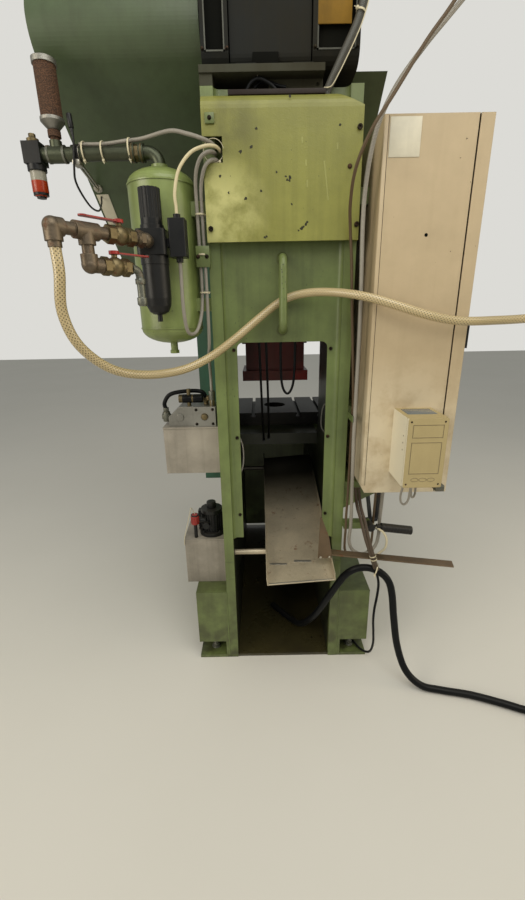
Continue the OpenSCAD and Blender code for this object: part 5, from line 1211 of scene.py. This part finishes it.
def build_air_details(made, sizes):
    """Caps of the silencer, the lubricator's bowl, unions, the stay, the sensor's wire and a bare plate."""
    shape = Shape()
    for profile in (SILENCER_FOOT, SILENCER_CAP):
        shape.lathe(SILENCER, UP, profile, sides=36)
    shape.done("silencer_caps", "frame", [made["cast_aluminium"]])

    shape = Shape()
    for slot, profile, sides in ((0, BOWL, 32), (1, BOWL_OIL, 32), (2, FILLER, 24), (3, BOWL_COLLAR, 32)):
        shape.lathe(LUBRICATOR, UP, profile, slot, sides)
    place = Vector(LUBRICATOR)
    low, high, radius = FILLER_NUT
    shape.rod(place + UP * low, place + UP * high, radius, slot=2, sides=6, bevel=0.001)
    shape.done("lubricator_bowl", "frame",
               [made["clear_bowl"], made["red_oil"], made["valve_brass"], made["black_plastic"]])

    shape = Shape()
    wire(shape, OUTLET, OUTLET_TUBE, sides=16)
    for place, high in OUTLET_NUTS:
        shape.rod(place, Vector(place) + UP * high, OUTLET_NUT_RADIUS, sides=20, bevel=0.002)
    shape.done("valve_outlet", "frame", [made["pipe_steel"]], TUBE_EDGE)

    shape = Shape()
    start, end, radius = HEADER_NUT
    shape.rod((start, HEADER_Y, HEADER_Z), (end, HEADER_Y, HEADER_Z), radius, sides=6, bevel=0.0012)
    for x, outer, width, slot in HEADER_RINGS:
        ring(shape, (x, HEADER_Y, HEADER_Z), RIGHT, PIPE_RADIUS, outer, width, slot)
    shape.done("header_unions", "frame", [made["valve_brass"], made["pipe_steel"]])

    shape = Shape()
    wire(shape, SENSOR_WIRE, sizes.wire)
    top, neck, low = SENSOR
    body, collar, tip = SENSOR_RADII
    shape.rod(top, neck, body, sides=14, bevel=0.002)
    shape.rod(neck, low, collar, sides=12, bevel=0.001, radius2=tip)
    ring(shape, SENSOR_CLIP, RIGHT, *CLIP_RING)
    shape.done("sensor_wire", "frame", [made["black_plastic"]], TUBE_EDGE)

    shape = Shape()
    start, end = [Vector(place) for place in STAY]
    for shift in (-STAY_APART, STAY_APART):
        shape.rod(start + UP * shift, end + UP * shift, STAY_ROD, sides=12)
    ring(shape, (start.x, HEADER_Y, HEADER_Z), RIGHT, *STAY_RING)
    shape.box(*STAY_FOOT, bevel=0.002)
    low, high, radius = STAY_DISC
    shape.rod(end + GUARD_SLOPE * low, end + GUARD_SLOPE * high, radius, bevel=0.001)
    shape.done("header_stay", "frame", [made["bright_steel"]])

    shape = Shape()
    wide, high, corner, thick = PLATE_SIZE
    turn = Matrix((RIGHT, GUARD_SLOPE.cross(RIGHT), GUARD_SLOPE)).transposed().to_4x4()
    shape.plate(rounded(wide, high, corner), thick, matrix=Matrix.Translation(GUARD_PLATE) @ turn,
                bevel=0.0004)
    shape.done("guard_plate_bare", "frame", [made["blank_plate"]])


# Oil units

MANIFOLD_FACE = face_at("manifold_block", 1)
MANIFOLD_BOLTS = ((-0.349, 1.118), (-0.282, 1.118), (-0.349, 1.178), (-0.282, 1.178))
LOOP_TUBE = [
    (-0.484, -0.470, 1.172), (-0.488, -0.470, 1.198), (-0.460, -0.470, 1.234), (-0.390, -0.468, 1.246),
    (-0.330, -0.466, 1.242), (-0.314, -0.466, 1.218)]
UNION = (-0.484, -0.470, 1.120)
PUMP = (-0.318, -0.475, 0.588)
PUMP_KNOB = (-0.388, -0.525, 0.588)
DIP_WIRE = [
    (-0.386, -0.530, 0.705), (-0.397, -0.5465, 0.745), (-0.404, -0.550, 0.720), (-0.420, -0.550, 0.660),
    (-0.436, -0.549, 0.600), (-0.440, -0.546, 0.560)]
BOLT_RADIUS, SOCKET_RADIUS = 0.0056, 0.0026
BOLT_ENDS, SOCKET_ENDS = (0.009, -0.0015), (-0.0018, -0.0014)
PLUG = (-0.418, -0.518, 1.146)
PORT = (-0.3155, -0.5225, 1.148)
PORT_NUT_HIGH, PORT_NUT_RADIUS = 0.009, 0.0124

# The hose loop: its two sleeves and its nut, each with x, length and radius, on one line
LOOP_DIAMETER = 0.0172
LOOP_Y, LOOP_Z = -0.496, 1.220
SLEEVES = ((-0.406, 0.040, 0.0178), (-0.362, 0.040, 0.0178))
LOOP_NUT = (-0.306, 0.010, 0.0125)

# Each part of a union: from, to and radius. Its branch: half its length, its height and radius
UNION_BASE, UNION_NUT = (-0.001, 0.041, 0.0154), (0.041, 0.058, 0.0122)
UNION_BRANCH = (0.018, 0.020, 0.0132)
RISER = (-0.284, -0.500)
RISER_NUT, RISER_SLEEVE = (1.190, 1.214, 0.0142), (1.214, 1.251, 0.0134)

# Ribs round the pump and ridges round its knob: number and box. Bolts among the ribs: reach, height, radius
RIBS = (24, ((0.0415, -0.001, 0.020), (0.0465, 0.001, 0.104)))
RIDGES = (12, ((0.0170, -0.0016, 0.074), (0.0188, 0.0016, 0.106)))
RIB_BOLTS = (0.050, 0.016, 0.005)

# Turned profiles, as pairs of radius and height
PLUG_HEAD = [(0.016, 0), (0.0145, 0.004), (0.008, 0.0045), (0, 0.0045)]
PORT_HEAD = [(0.0148, 0), (0.0148, 0.003), (0.013, 0.0034)]
PUMP_FILLER = [(0.0205, 0.122), (0.0212, 0.126), (0.0212, 0.150), (0.016, 0.1545), (0, 0.1545)]
KNOB = [(0.0085, 0.069), (0.0176, 0.0695), (0.0178, 0.090), (0.0178, 0.108), (0.013, 0.1145), (0, 0.1146)]


def around(place, count):
    """Turns that set a box round an upright axis, with their angles."""
    for i in range(count):
        angle = math.radians(360 / count * i)
        yield i, angle, Matrix.Translation(place) @ Matrix.Rotation(angle, 4, "Z")


def build_oil_details(made, sizes):
    """Bolts, plug, hose loop and unions of the upper unit, ribs, knob and level wire of the lower one."""
    shape = Shape()
    for x, z in MANIFOLD_BOLTS:
        bolt = [(x, MANIFOLD_FACE + y, z) for y in BOLT_ENDS]
        socket = [(x, MANIFOLD_FACE + y, z) for y in SOCKET_ENDS]
        shape.rod(*bolt, BOLT_RADIUS, sides=20, bevel=0.0006)
        shape.rod(*socket, SOCKET_RADIUS, sides=6)
    shape.lathe(PLUG, REAR, PLUG_HEAD, slot=1, sides=24)
    port = Vector(PORT)
    shape.rod(port + REAR * PORT_NUT_HIGH, port, PORT_NUT_RADIUS, slot=2, sides=6, bevel=0.001)
    shape.lathe(port, REAR, PORT_HEAD, slot=2, sides=24)
    shape.done("manifold_bolts", "frame", [made["screw_steel"], made["cast_aluminium"], made["valve_brass"]])

    shape = Shape()
    wire(shape, LOOP_TUBE, LOOP_DIAMETER, sides=14)
    for x, long, radius in SLEEVES:
        shape.rod((x, LOOP_Y, LOOP_Z), (x + long, LOOP_Y, LOOP_Z), radius, bevel=0.003)
    x, long, radius = LOOP_NUT
    shape.rod((x, LOOP_Y, LOOP_Z), (x + long, LOOP_Y, LOOP_Z), radius, slot=1, sides=6, bevel=0.001)
    shape.done("upper_hose_loop", "frame", [made["hose_black"], made["valve_brass"]], TUBE_EDGE)

    shape = Shape()
    place = Vector(UNION)
    for (low, high, radius), sides, bevel in ((UNION_BASE, 20, 0.003), (UNION_NUT, 6, 0.001)):
        shape.rod(place + UP * low, place + UP * high, radius, sides=sides, bevel=bevel)
    half, high, radius = UNION_BRANCH
    middle = place + UP * high
    shape.rod(middle - RIGHT * half, middle + RIGHT * half, radius, sides=6, bevel=0.001)
    for (low, high, radius), sides in ((RISER_NUT, 6), (RISER_SLEEVE, 20)):
        shape.rod((*RISER, low), (*RISER, high), radius, sides=sides, bevel=0.001)
    shape.done("oil_unions", "frame", [made["pipe_steel"]])

    shape = Shape()
    place = Vector(PUMP)
    count, rib = RIBS
    reach, high, head = RIB_BOLTS
    for i, angle, turn in around(place, count):
        shape.box(*rib, matrix=turn)
        if i % 6 == 3:
            out = Vector((math.cos(angle), math.sin(angle), 0))
            hex_head(shape, place + out * reach + UP * high, UP, head)
    shape.lathe(place, UP, PUMP_FILLER, sides=28)
    shape.done("pump_ribs", "frame", [made["black_plastic"]])

    shape = Shape()
    shape.lathe(PUMP_KNOB, UP, KNOB, sides=24)
    count, ridge = RIDGES
    for _, _, turn in around(PUMP_KNOB, count):
        shape.box(*ridge, bevel=0.0005, matrix=turn)
    shape.done("pump_knob_red", "frame", [made["lever_paint"]])

    shape = Shape()
    wire(shape, DIP_WIRE, FINE_WIRE, sides=8)
    shape.done("oil_level_wire", "frame", [made["tie_pale"]], TUBE_EDGE)


# Cabinet and interface box

CABINET_FACE = face_at("cabinet_body", 1)
CABINET_LEFT = face_at("cabinet_body", 0)
BOX_FACE = face_at("interface_box", 1)
BOX_LEFT = face_at("interface_box", 0)
BOX_TOP = face_at("interface_box", 2, True)
WIRE_LOOPS = (
    [(0.429, -0.800, 0.963), (0.428, -0.800, 0.940), (0.423, -0.800, 0.905), (0.427, -0.800, 0.879),
     (0.440, -0.800, 0.870), (0.452, -0.800, 0.886), (0.456, -0.800, 0.925), (0.457, -0.800, 0.963)],
    [(0.470, -0.770, 0.975), (0.470, -0.770, 0.930), (0.474, -0.768, 0.892), (0.483, -0.764, 0.880),
     (0.492, -0.758, 0.892), (0.495, -0.750, 0.925), (0.495, -0.740, 0.960)])
SEAM_LOW, SEAM_HIGH = 0.918, 2.090

# The strip beside the left seam: from, to and thickness. The right seam: x and low end
SEAM_STRIP = (0.001, 0.013, 0.0012)
SEAM_GAP, SEAM_DEEP = 0.0015, 0.0004
RIGHT_SEAM = (0.5725, 0.890)
CABINET_HOLE = (0.449, 1.774)
HOLE_RIM = [(0.0055, 0), (0.005, 0.0006), (0, 0.0006)]
CABINET_PLATE = ((0.312, 1.984), (0.405, 2.086))
CABINET_PLATE_THICK = 0.0016
BOX_WINDOW = ((0.412, -0.826), (0.512, -0.748))
WINDOW_UNDER, WINDOW_OVER = 0.0005, 0.0008
BOX_FIELDS = (((0.412, 1.151), (0.513, 1.195)), ((0.411, 1.024), (0.512, 1.135)))
FIELD_LINE = 0.0014
OVALS = (0.434, 0.4615, 0.489)
OVAL_Z, OVAL_WIDE, OVAL_HIGH, OVAL_LINE = 1.0025, 0.0125, 0.0065, 0.0006
SIDE_DOTS = (1.100, 1.125, 1.150)
DOT_Y, DOT_RADIUS, DOT_HALF = -0.850, 0.0025, 0.0005
BOX_SCREWS = [(x, z) for x in (0.406, 0.516) for z in (0.986, 1.205)]
SCREW_SUNK = 0.0035
SCREW_HEAD = [(0.0034, 0), (0.0034, 0.0028), (0.002, 0.0034), (0, 0.0034)]

# Where the wire loops end: two corners and a bevel
LOOP_ENDS = (((0.480, -0.752, 0.955), (0.512, -0.7305, 0.975), 0.002),
             ((0.516, -0.874, 0.952), (0.546, -0.836, 0.9745), 0.003))


def build_cabinet_details(made, sizes):
    """Seams, bare plate and hole of the cabinet, and the interface box's window, marks, screws and wires."""
    shape = Shape()
    start, end, thick = SEAM_STRIP
    left, right = CABINET_LEFT + start, CABINET_LEFT + end
    seam_y = CABINET_FACE - SEAM_DEEP
    shape.box((left, CABINET_FACE - thick, SEAM_LOW), (right, CABINET_FACE, SEAM_HIGH), bevel=0.0004)
    for x, low in ((right, SEAM_LOW), RIGHT_SEAM):
        shape.box((x, seam_y, low), (x + SEAM_GAP, CABINET_FACE, SEAM_HIGH), slot=1)
    shape.lathe((CABINET_HOLE[0], CABINET_FACE, CABINET_HOLE[1]), REAR, HOLE_RIM, slot=1, sides=20)
    shape.done("cabinet_seams", "frame", [made["cabinet_paint"], made["motor_dark"]])

    shape = Shape()
    (x0, z0), (x1, z1) = CABINET_PLATE
    shape.box((x0, CABINET_FACE - CABINET_PLATE_THICK, z0), (x1, CABINET_FACE, z1), bevel=0.0005)
    shape.done("cabinet_plate_bare", "frame", [made["blank_plate"]])

    shape = Shape()
    (x0, y0), (x1, y1) = BOX_WINDOW
    shape.box((x0, y0, BOX_TOP - WINDOW_UNDER), (x1, y1, BOX_TOP + WINDOW_OVER), bevel=0.0004)
    shape.done("box_window", "frame", [made["window_blue"]])

    shape = Shape()
    for low, high in BOX_FIELDS:
        outlined(shape, low, high, BOX_FACE, FIELD_LINE)
    turns = [2 * math.pi * k / 24 for k in range(25)]
    for x in OVALS:
        oval = [Vector((x + OVAL_WIDE * math.cos(a), BOX_FACE, OVAL_Z + OVAL_HIGH * math.sin(a)))
                for a in turns]
        for start, end in zip(oval, oval[1:]):
            shape.rod(start, end, OVAL_LINE, sides=6)
    for z in SIDE_DOTS:
        shape.rod((BOX_LEFT + DOT_HALF, DOT_Y, z), (BOX_LEFT - DOT_HALF, DOT_Y, z), DOT_RADIUS, sides=12)
    shape.done("box_marks", "frame", [made["print_grey"]])

    shape = Shape()
    for x, z in BOX_SCREWS:
        shape.lathe((x, BOX_FACE + SCREW_SUNK, z), REAR, SCREW_HEAD, sides=16)
    shape.done("box_screws", "frame", [made["screw_steel"]])

    shape = Shape()
    for route in WIRE_LOOPS:
        wire(shape, route, sizes.wire + 0.001, sides=12)
    for low, high, bevel in LOOP_ENDS:
        shape.box(low, high, slot=1, bevel=bevel)
    shape.done("box_wires", "frame", [made["cable_grey"], made["pipe_steel"]], TUBE_EDGE)


# Lever, bar and the wires round them

BUNDLE = (
    [(0.292, -0.648, 0.873), (0.300, -0.664, 0.800), (0.314, -0.690, 0.745), (0.328, -0.722, 0.680),
     (0.346, -0.735, 0.625), (0.362, -0.735, 0.575), (0.372, -0.732, 0.548)],
    [(0.306, -0.648, 0.873), (0.314, -0.664, 0.800), (0.328, -0.690, 0.745), (0.341, -0.722, 0.680),
     (0.356, -0.737, 0.625), (0.372, -0.738, 0.575), (0.384, -0.735, 0.545)])
PALE_LOOP = [(0.366, -0.640, 0.712), (0.384, -0.664, 0.700), (0.410, -0.682, 0.686), (0.424, -0.690, 0.655),
             (0.420, -0.692, 0.618), (0.402, -0.690, 0.597), (0.380, -0.700, 0.586)]
DROP_TUBE = [(0.378, -0.734, 0.535), (0.390, -0.738, 0.480), (0.388, -0.738, 0.413), (0.383, -0.734, 0.347),
             (0.385, -0.726, 0.280), (0.394, -0.712, 0.210), (0.403, -0.694, 0.130), (0.402, -0.668, 0.060),
             (0.390, -0.640, 0.026), (0.366, -0.610, 0.020), (0.345, -0.560, 0.020)]
BUNDLE_TUBE = 0.013
BUNDLE_TIES = ((0.357, -0.737, 0.612), (0.362, -0.737, 0.596))
BUNDLE_WAY = (0.28, 0.0, -1)
BUNDLE_RING = (0.0125, 0.0142, 0.004)
PALE_WIRE = 0.0092
DROP_TIE = ((0.378, -0.730, 0.543), (1, -0.3, -0.25), 0.0225)
STRUTS = (((0.372, -0.612, 0.712), (0.346, -0.606, 0.887)), ((0.398, -0.612, 0.712), (0.406, -0.606, 0.887)))
STRUT_RADIUS = 0.0085
CROSSBAR = ((0.330, -0.612, 0.704), (0.402, -0.612, 0.712))
CROSSBAR_RADIUS = 0.011
WEDGE_BOLTS = ((0.1517, -0.7068, 0.588), (0.1877, -0.7068, 0.588))
BOLT_HEAD = [(0.0052, 0), (0.0046, 0.0012), (0, 0.0013)]
CHUTE_UP = (-0.09, -0.20, 0.98)
CHUTE_MARKS = (((-0.057, -0.656, 0.5268), (0.016, -0.665, 0.5308), 0.010),
               ((0.047, -0.652, 0.5368), (0.118, -0.661, 0.5408), 0.012),
               ((-0.066, -0.7625, 0.5045), (0.194, -0.7675, 0.5265), 0.005))
MARK_HEIGHT = 0.0012


def build_lever_details(made, sizes):
    """Tubes tied to the bar, pale wire loop, drop tube, struts, bright bolt heads and the chute's marks."""
    shape = Shape()
    for route in BUNDLE:
        wire(shape, route, BUNDLE_TUBE, sides=12)
    for place in BUNDLE_TIES:
        ring(shape, place, BUNDLE_WAY, *BUNDLE_RING, slot=1, sides=20)
    shape.done("tied_tubes", "frame", [made["hose_brown"], made["tie_pale"]], TUBE_EDGE)

    shape = Shape()
    wire(shape, PALE_LOOP, PALE_WIRE)
    shape.done("pale_wire_loop", "frame", [made["tie_pale"]], TUBE_EDGE)

    shape = Shape()
    wire(shape, DROP_TUBE, THIN_HOSE, sides=12)
    tie(shape, *DROP_TIE, slot=1, width=sizes.strap)
    shape.done("drop_tube", "frame", [made["hose_black"], made["tie_pale"]], TUBE_EDGE)

    shape = Shape()
    for low, high in STRUTS:
        shape.rod(low, high, STRUT_RADIUS, sides=14, bevel=0.001)
    shape.rod(*CROSSBAR, CROSSBAR_RADIUS, sides=16, bevel=0.002)
    shape.done("lever_struts", "frame", [made["cast_iron"]])

    shape = Shape()
    for place in WEDGE_BOLTS:
        shape.lathe(place, REAR, BOLT_HEAD, sides=20)
    shape.done("wedge_bolt_heads", "frame", [made["bright_steel"]])

    shape = Shape()
    for start, end, width in CHUTE_MARKS:
        strip(shape, start, end, CHUTE_UP, width, MARK_HEIGHT)
    shape.done("chute_marks", "frame", [made["bright_steel"]])


# Materials of the CAD nodes

# Nodes whose material differs from their record's slot
OWN_LOOK = {
    "side_guards": "side_paint", "bolster_plate": "oily_steel", "motor_base": "base_dark",
    "interface_box": "box_paint", "hand_lever": "grip_black", "chute_bar": "brown_steel",
    "header_pipe": "dark_pipe", "inlet_pipework": "rusty_pipe", "black_hose_connector": "valve_brass"}


def dress_nodes(made):
    """Give every CAD node its material."""
    slots = {row["node"]: row["material_slot"] for row in frame["record"]["subparts"]}
    for name, node in frame["nodes"].items():
        material = made[OWN_LOOK.get(name, slots[name])]
        for slot in node.material_slots:
            slot.material = material


# Stage

FLOOR_HALF = 14
FLOOR_DROP = 0.001
HALL_LIGHT = ("#e9ebe6", 0.44)
HALL_BACK = ("#dcdbd6", 1.0)

# Each lamp's name, place, aim, size, power and tint
LAMPS = (
    ("window_left", (-3.6, -3.2, 2.6), (0, -0.6, 1.2), 2.6, 95, "#fff6e4"),
    ("tubes_above", (0.6, -2.6, 4.2), (0, -0.4, 1.2), 3.0, 80, "#fffdf4"),
    ("hall_right", (3.8, -1.6, 2.2), (0.2, -0.4, 1.1), 2.4, 45, "#fff1d6"))

CAMERA_PLACE = (-0.08, -2.17, 1.55)
CAMERA_PITCH = math.radians(18.5)
CAMERA_ROLL = math.radians(1.05)
CAMERA_LENS = 16.4
CAMERA_SENSOR = 36
CAMERA_NEAR = 0.02


def build_stage():
    """Plain floor, soft lights, pale surroundings and the camera."""
    floor_mesh = bpy.data.meshes.new("floor")
    bm = bmesh.new()
    bmesh.ops.create_grid(bm, x_segments=1, y_segments=1, size=FLOOR_HALF)
    bm.to_mesh(floor_mesh)
    bm.free()
    floor = bpy.data.objects.new("floor", floor_mesh)
    floor.location.z = -FLOOR_DROP
    bpy.context.scene.collection.objects.link(floor)
    material = bpy.data.materials.new("floor")
    material.use_nodes = True
    t = Tree(material.node_tree)
    shader = material.node_tree.nodes["Principled BSDF"]
    clouds = t.noise(t.place(), 0.8, 5.0)
    t.fill(shader.inputs["Base Color"], t.mix(clouds, linear("#cfccc4"), linear("#d8d5ce")))
    shader.inputs["Roughness"].default_value = 0.75
    floor_mesh.materials.append(material)

    world = bpy.data.worlds.new("hall")
    bpy.context.scene.world = world
    world.use_nodes = True
    w = Tree(world.node_tree)
    world.node_tree.nodes.clear()
    rays = w.add("ShaderNodeLightPath")
    seen = w.math("MAXIMUM", rays.outputs["Is Camera Ray"], rays.outputs["Is Transmission Ray"])
    shades = [w.add("ShaderNodeBackground", Color=linear(code), Strength=power).outputs[0]
              for code, power in (HALL_LIGHT, HALL_BACK)]
    both = w.add("ShaderNodeMixShader")
    for socket, value in zip(both.inputs, (seen, *shades)):
        w.fill(socket, value)
    w.fill(w.add("ShaderNodeOutputWorld").inputs[0], both.outputs[0])

    for name, place, aim, size, power, tint in LAMPS:
        lamp = bpy.data.lights.new(name, "AREA")
        lamp.energy, lamp.size, lamp.color = power, size, linear(tint)
        lamp_object = bpy.data.objects.new(name, lamp)
        lamp_object.matrix_world = Matrix.Translation(place) @ towards(Vector(place) - Vector(aim))
        bpy.context.scene.collection.objects.link(lamp_object)

    build_camera()
    scene = bpy.context.scene
    scene.view_settings.view_transform = "Standard"
    scene.view_settings.look = "None"
    scene.use_nodes = False


def build_camera():
    """The camera where the photograph was taken from: looking down a little and leaning slightly."""
    camera = bpy.data.cameras.new("camera")
    camera.lens, camera.sensor_width, camera.clip_start = CAMERA_LENS, CAMERA_SENSOR, CAMERA_NEAR
    piece = bpy.data.objects.new("camera", camera)
    ahead = Vector((0, math.cos(CAMERA_PITCH), -math.sin(CAMERA_PITCH)))
    upright = RIGHT.cross(ahead)
    right = RIGHT * math.cos(CAMERA_ROLL) - upright * math.sin(CAMERA_ROLL)
    top = RIGHT * math.sin(CAMERA_ROLL) + upright * math.cos(CAMERA_ROLL)
    turn = Matrix((right, top, -ahead)).transposed().to_4x4()
    piece.matrix_world = Matrix.Translation(CAMERA_PLACE) @ turn
    bpy.context.scene.collection.objects.link(piece)
    bpy.context.scene.camera = piece


# Operators

MADE = {}


def sizes_of(context):
    """The sizes that the sidebar shows."""
    return context.scene.press_sizes


class PRESS_OT_materials(bpy.types.Operator):
    """Make the materials and dress the press in them"""

    bl_idname = "press.materials"
    bl_label = "Materials"

    def execute(self, context):
        MADE.update(Finish(context.scene.press_colours).all())
        dress_nodes(MADE)
        return {"FINISHED"}


class PRESS_OT_hoses(bpy.types.Operator):
    """Build the air hose and the black hose"""

    bl_idname = "press.hoses"
    bl_label = "Hoses"

    def execute(self, context):
        build_air_hose(MADE, sizes_of(context))
        build_black_hose(MADE, sizes_of(context))
        return {"FINISHED"}


class PRESS_OT_supply(bpy.types.Operator):
    """Build the supply conduit and cable"""

    bl_idname = "press.supply"
    bl_label = "Supply lines"

    def execute(self, context):
        build_supply_lines(MADE, sizes_of(context))
        return {"FINISHED"}


class PRESS_OT_cables(bpy.types.Operator):
    """Build the cables that the press holds, and their ties"""

    bl_idname = "press.cables"
    bl_label = "Held cables"

    def execute(self, context):
        build_held_cables(MADE, sizes_of(context))
        return {"FINISHED"}


class PRESS_OT_frame(bpy.types.Operator):
    """Build the frame's studs, weld beads and clamps, and the cover's marks"""

    bl_idname = "press.frame_details"
    bl_label = "Frame details"

    def execute(self, context):
        build_frame_details(MADE, sizes_of(context))
        return {"FINISHED"}


class PRESS_OT_motor(bpy.types.Operator):
    """Build the motor's windows, plate, lead and hoses"""

    bl_idname = "press.motor_details"
    bl_label = "Motor details"

    def execute(self, context):
        build_motor_details(MADE, sizes_of(context))
        return {"FINISHED"}


class PRESS_OT_inside(bpy.types.Operator):
    """Build the hoses and wires inside the opening"""

    bl_idname = "press.inside"
    bl_label = "Inside the opening"

    def execute(self, context):
        build_inside(MADE, sizes_of(context))
        return {"FINISHED"}


class PRESS_OT_air(bpy.types.Operator):
    """Build caps, bowl, unions, stay and wire of the air unit"""

    bl_idname = "press.air_details"
    bl_label = "Air unit details"

    def execute(self, context):
        build_air_details(MADE, sizes_of(context))
        return {"FINISHED"}


class PRESS_OT_oil(bpy.types.Operator):
    """Build bolts, unions, ribs and knob of the oil units"""

    bl_idname = "press.oil_details"
    bl_label = "Oil unit details"

    def execute(self, context):
        build_oil_details(MADE, sizes_of(context))
        return {"FINISHED"}


class PRESS_OT_cabinet(bpy.types.Operator):
    """Build seams, plates, marks and wires of the cabinet and its interface box"""

    bl_idname = "press.cabinet_details"
    bl_label = "Cabinet details"

    def execute(self, context):
        build_cabinet_details(MADE, sizes_of(context))
        return {"FINISHED"}


class PRESS_OT_lever(bpy.types.Operator):
    """Build tubes, wires and struts round the hand lever, and the chute's marks"""

    bl_idname = "press.lever_details"
    bl_label = "Lever details"

    def execute(self, context):
        build_lever_details(MADE, sizes_of(context))
        return {"FINISHED"}


class PRESS_OT_stage(bpy.types.Operator):
    """Set up floor, lights and camera"""

    bl_idname = "press.stage"
    bl_label = "Stage"

    def execute(self, context):
        build_stage()
        return {"FINISHED"}


STEPS = (PRESS_OT_materials, PRESS_OT_hoses, PRESS_OT_supply, PRESS_OT_cables, PRESS_OT_frame,
         PRESS_OT_motor, PRESS_OT_inside, PRESS_OT_air, PRESS_OT_oil, PRESS_OT_cabinet, PRESS_OT_lever,
         PRESS_OT_stage)


class PRESS_PT_panel(bpy.types.Panel):
    """The press in the sidebar"""

    bl_label = "Stamping press"
    bl_idname = "PRESS_PT_panel"
    bl_space_type = "VIEW_3D"
    bl_region_type = "UI"
    bl_category = "Press"

    def draw(self, context):
        for step in STEPS:
            self.layout.operator(step.bl_idname)
        for group in (context.scene.press_sizes, context.scene.press_colours):
            column = self.layout.column()
            for key in group.__annotations__:
                column.prop(group, key)


CLASSES = (PressColours, PressSizes, *STEPS, PRESS_PT_panel)


def register():
    """Register the classes and the two groups of properties."""
    for item in CLASSES:
        bpy.utils.register_class(item)
    bpy.types.Scene.press_colours = PointerProperty(type=PressColours)
    bpy.types.Scene.press_sizes = PointerProperty(type=PressSizes)


def unregister():
    """Take them away again."""
    del bpy.types.Scene.press_sizes
    del bpy.types.Scene.press_colours
    for item in reversed(CLASSES):
        bpy.utils.unregister_class(item)


def run(step):
    """Run one operator, and stop if it fails."""
    area, name = step.bl_idname.split(".")
    if getattr(getattr(bpy.ops, area), name)() != {"FINISHED"}:
        raise RuntimeError(f"{step.bl_idname} didn't finish")


def main():
    """Build all the looks."""
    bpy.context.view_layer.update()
    register()
    for step in STEPS:
        run(step)
    bpy.context.view_layer.update()


if __name__ == "__main__":
    main()
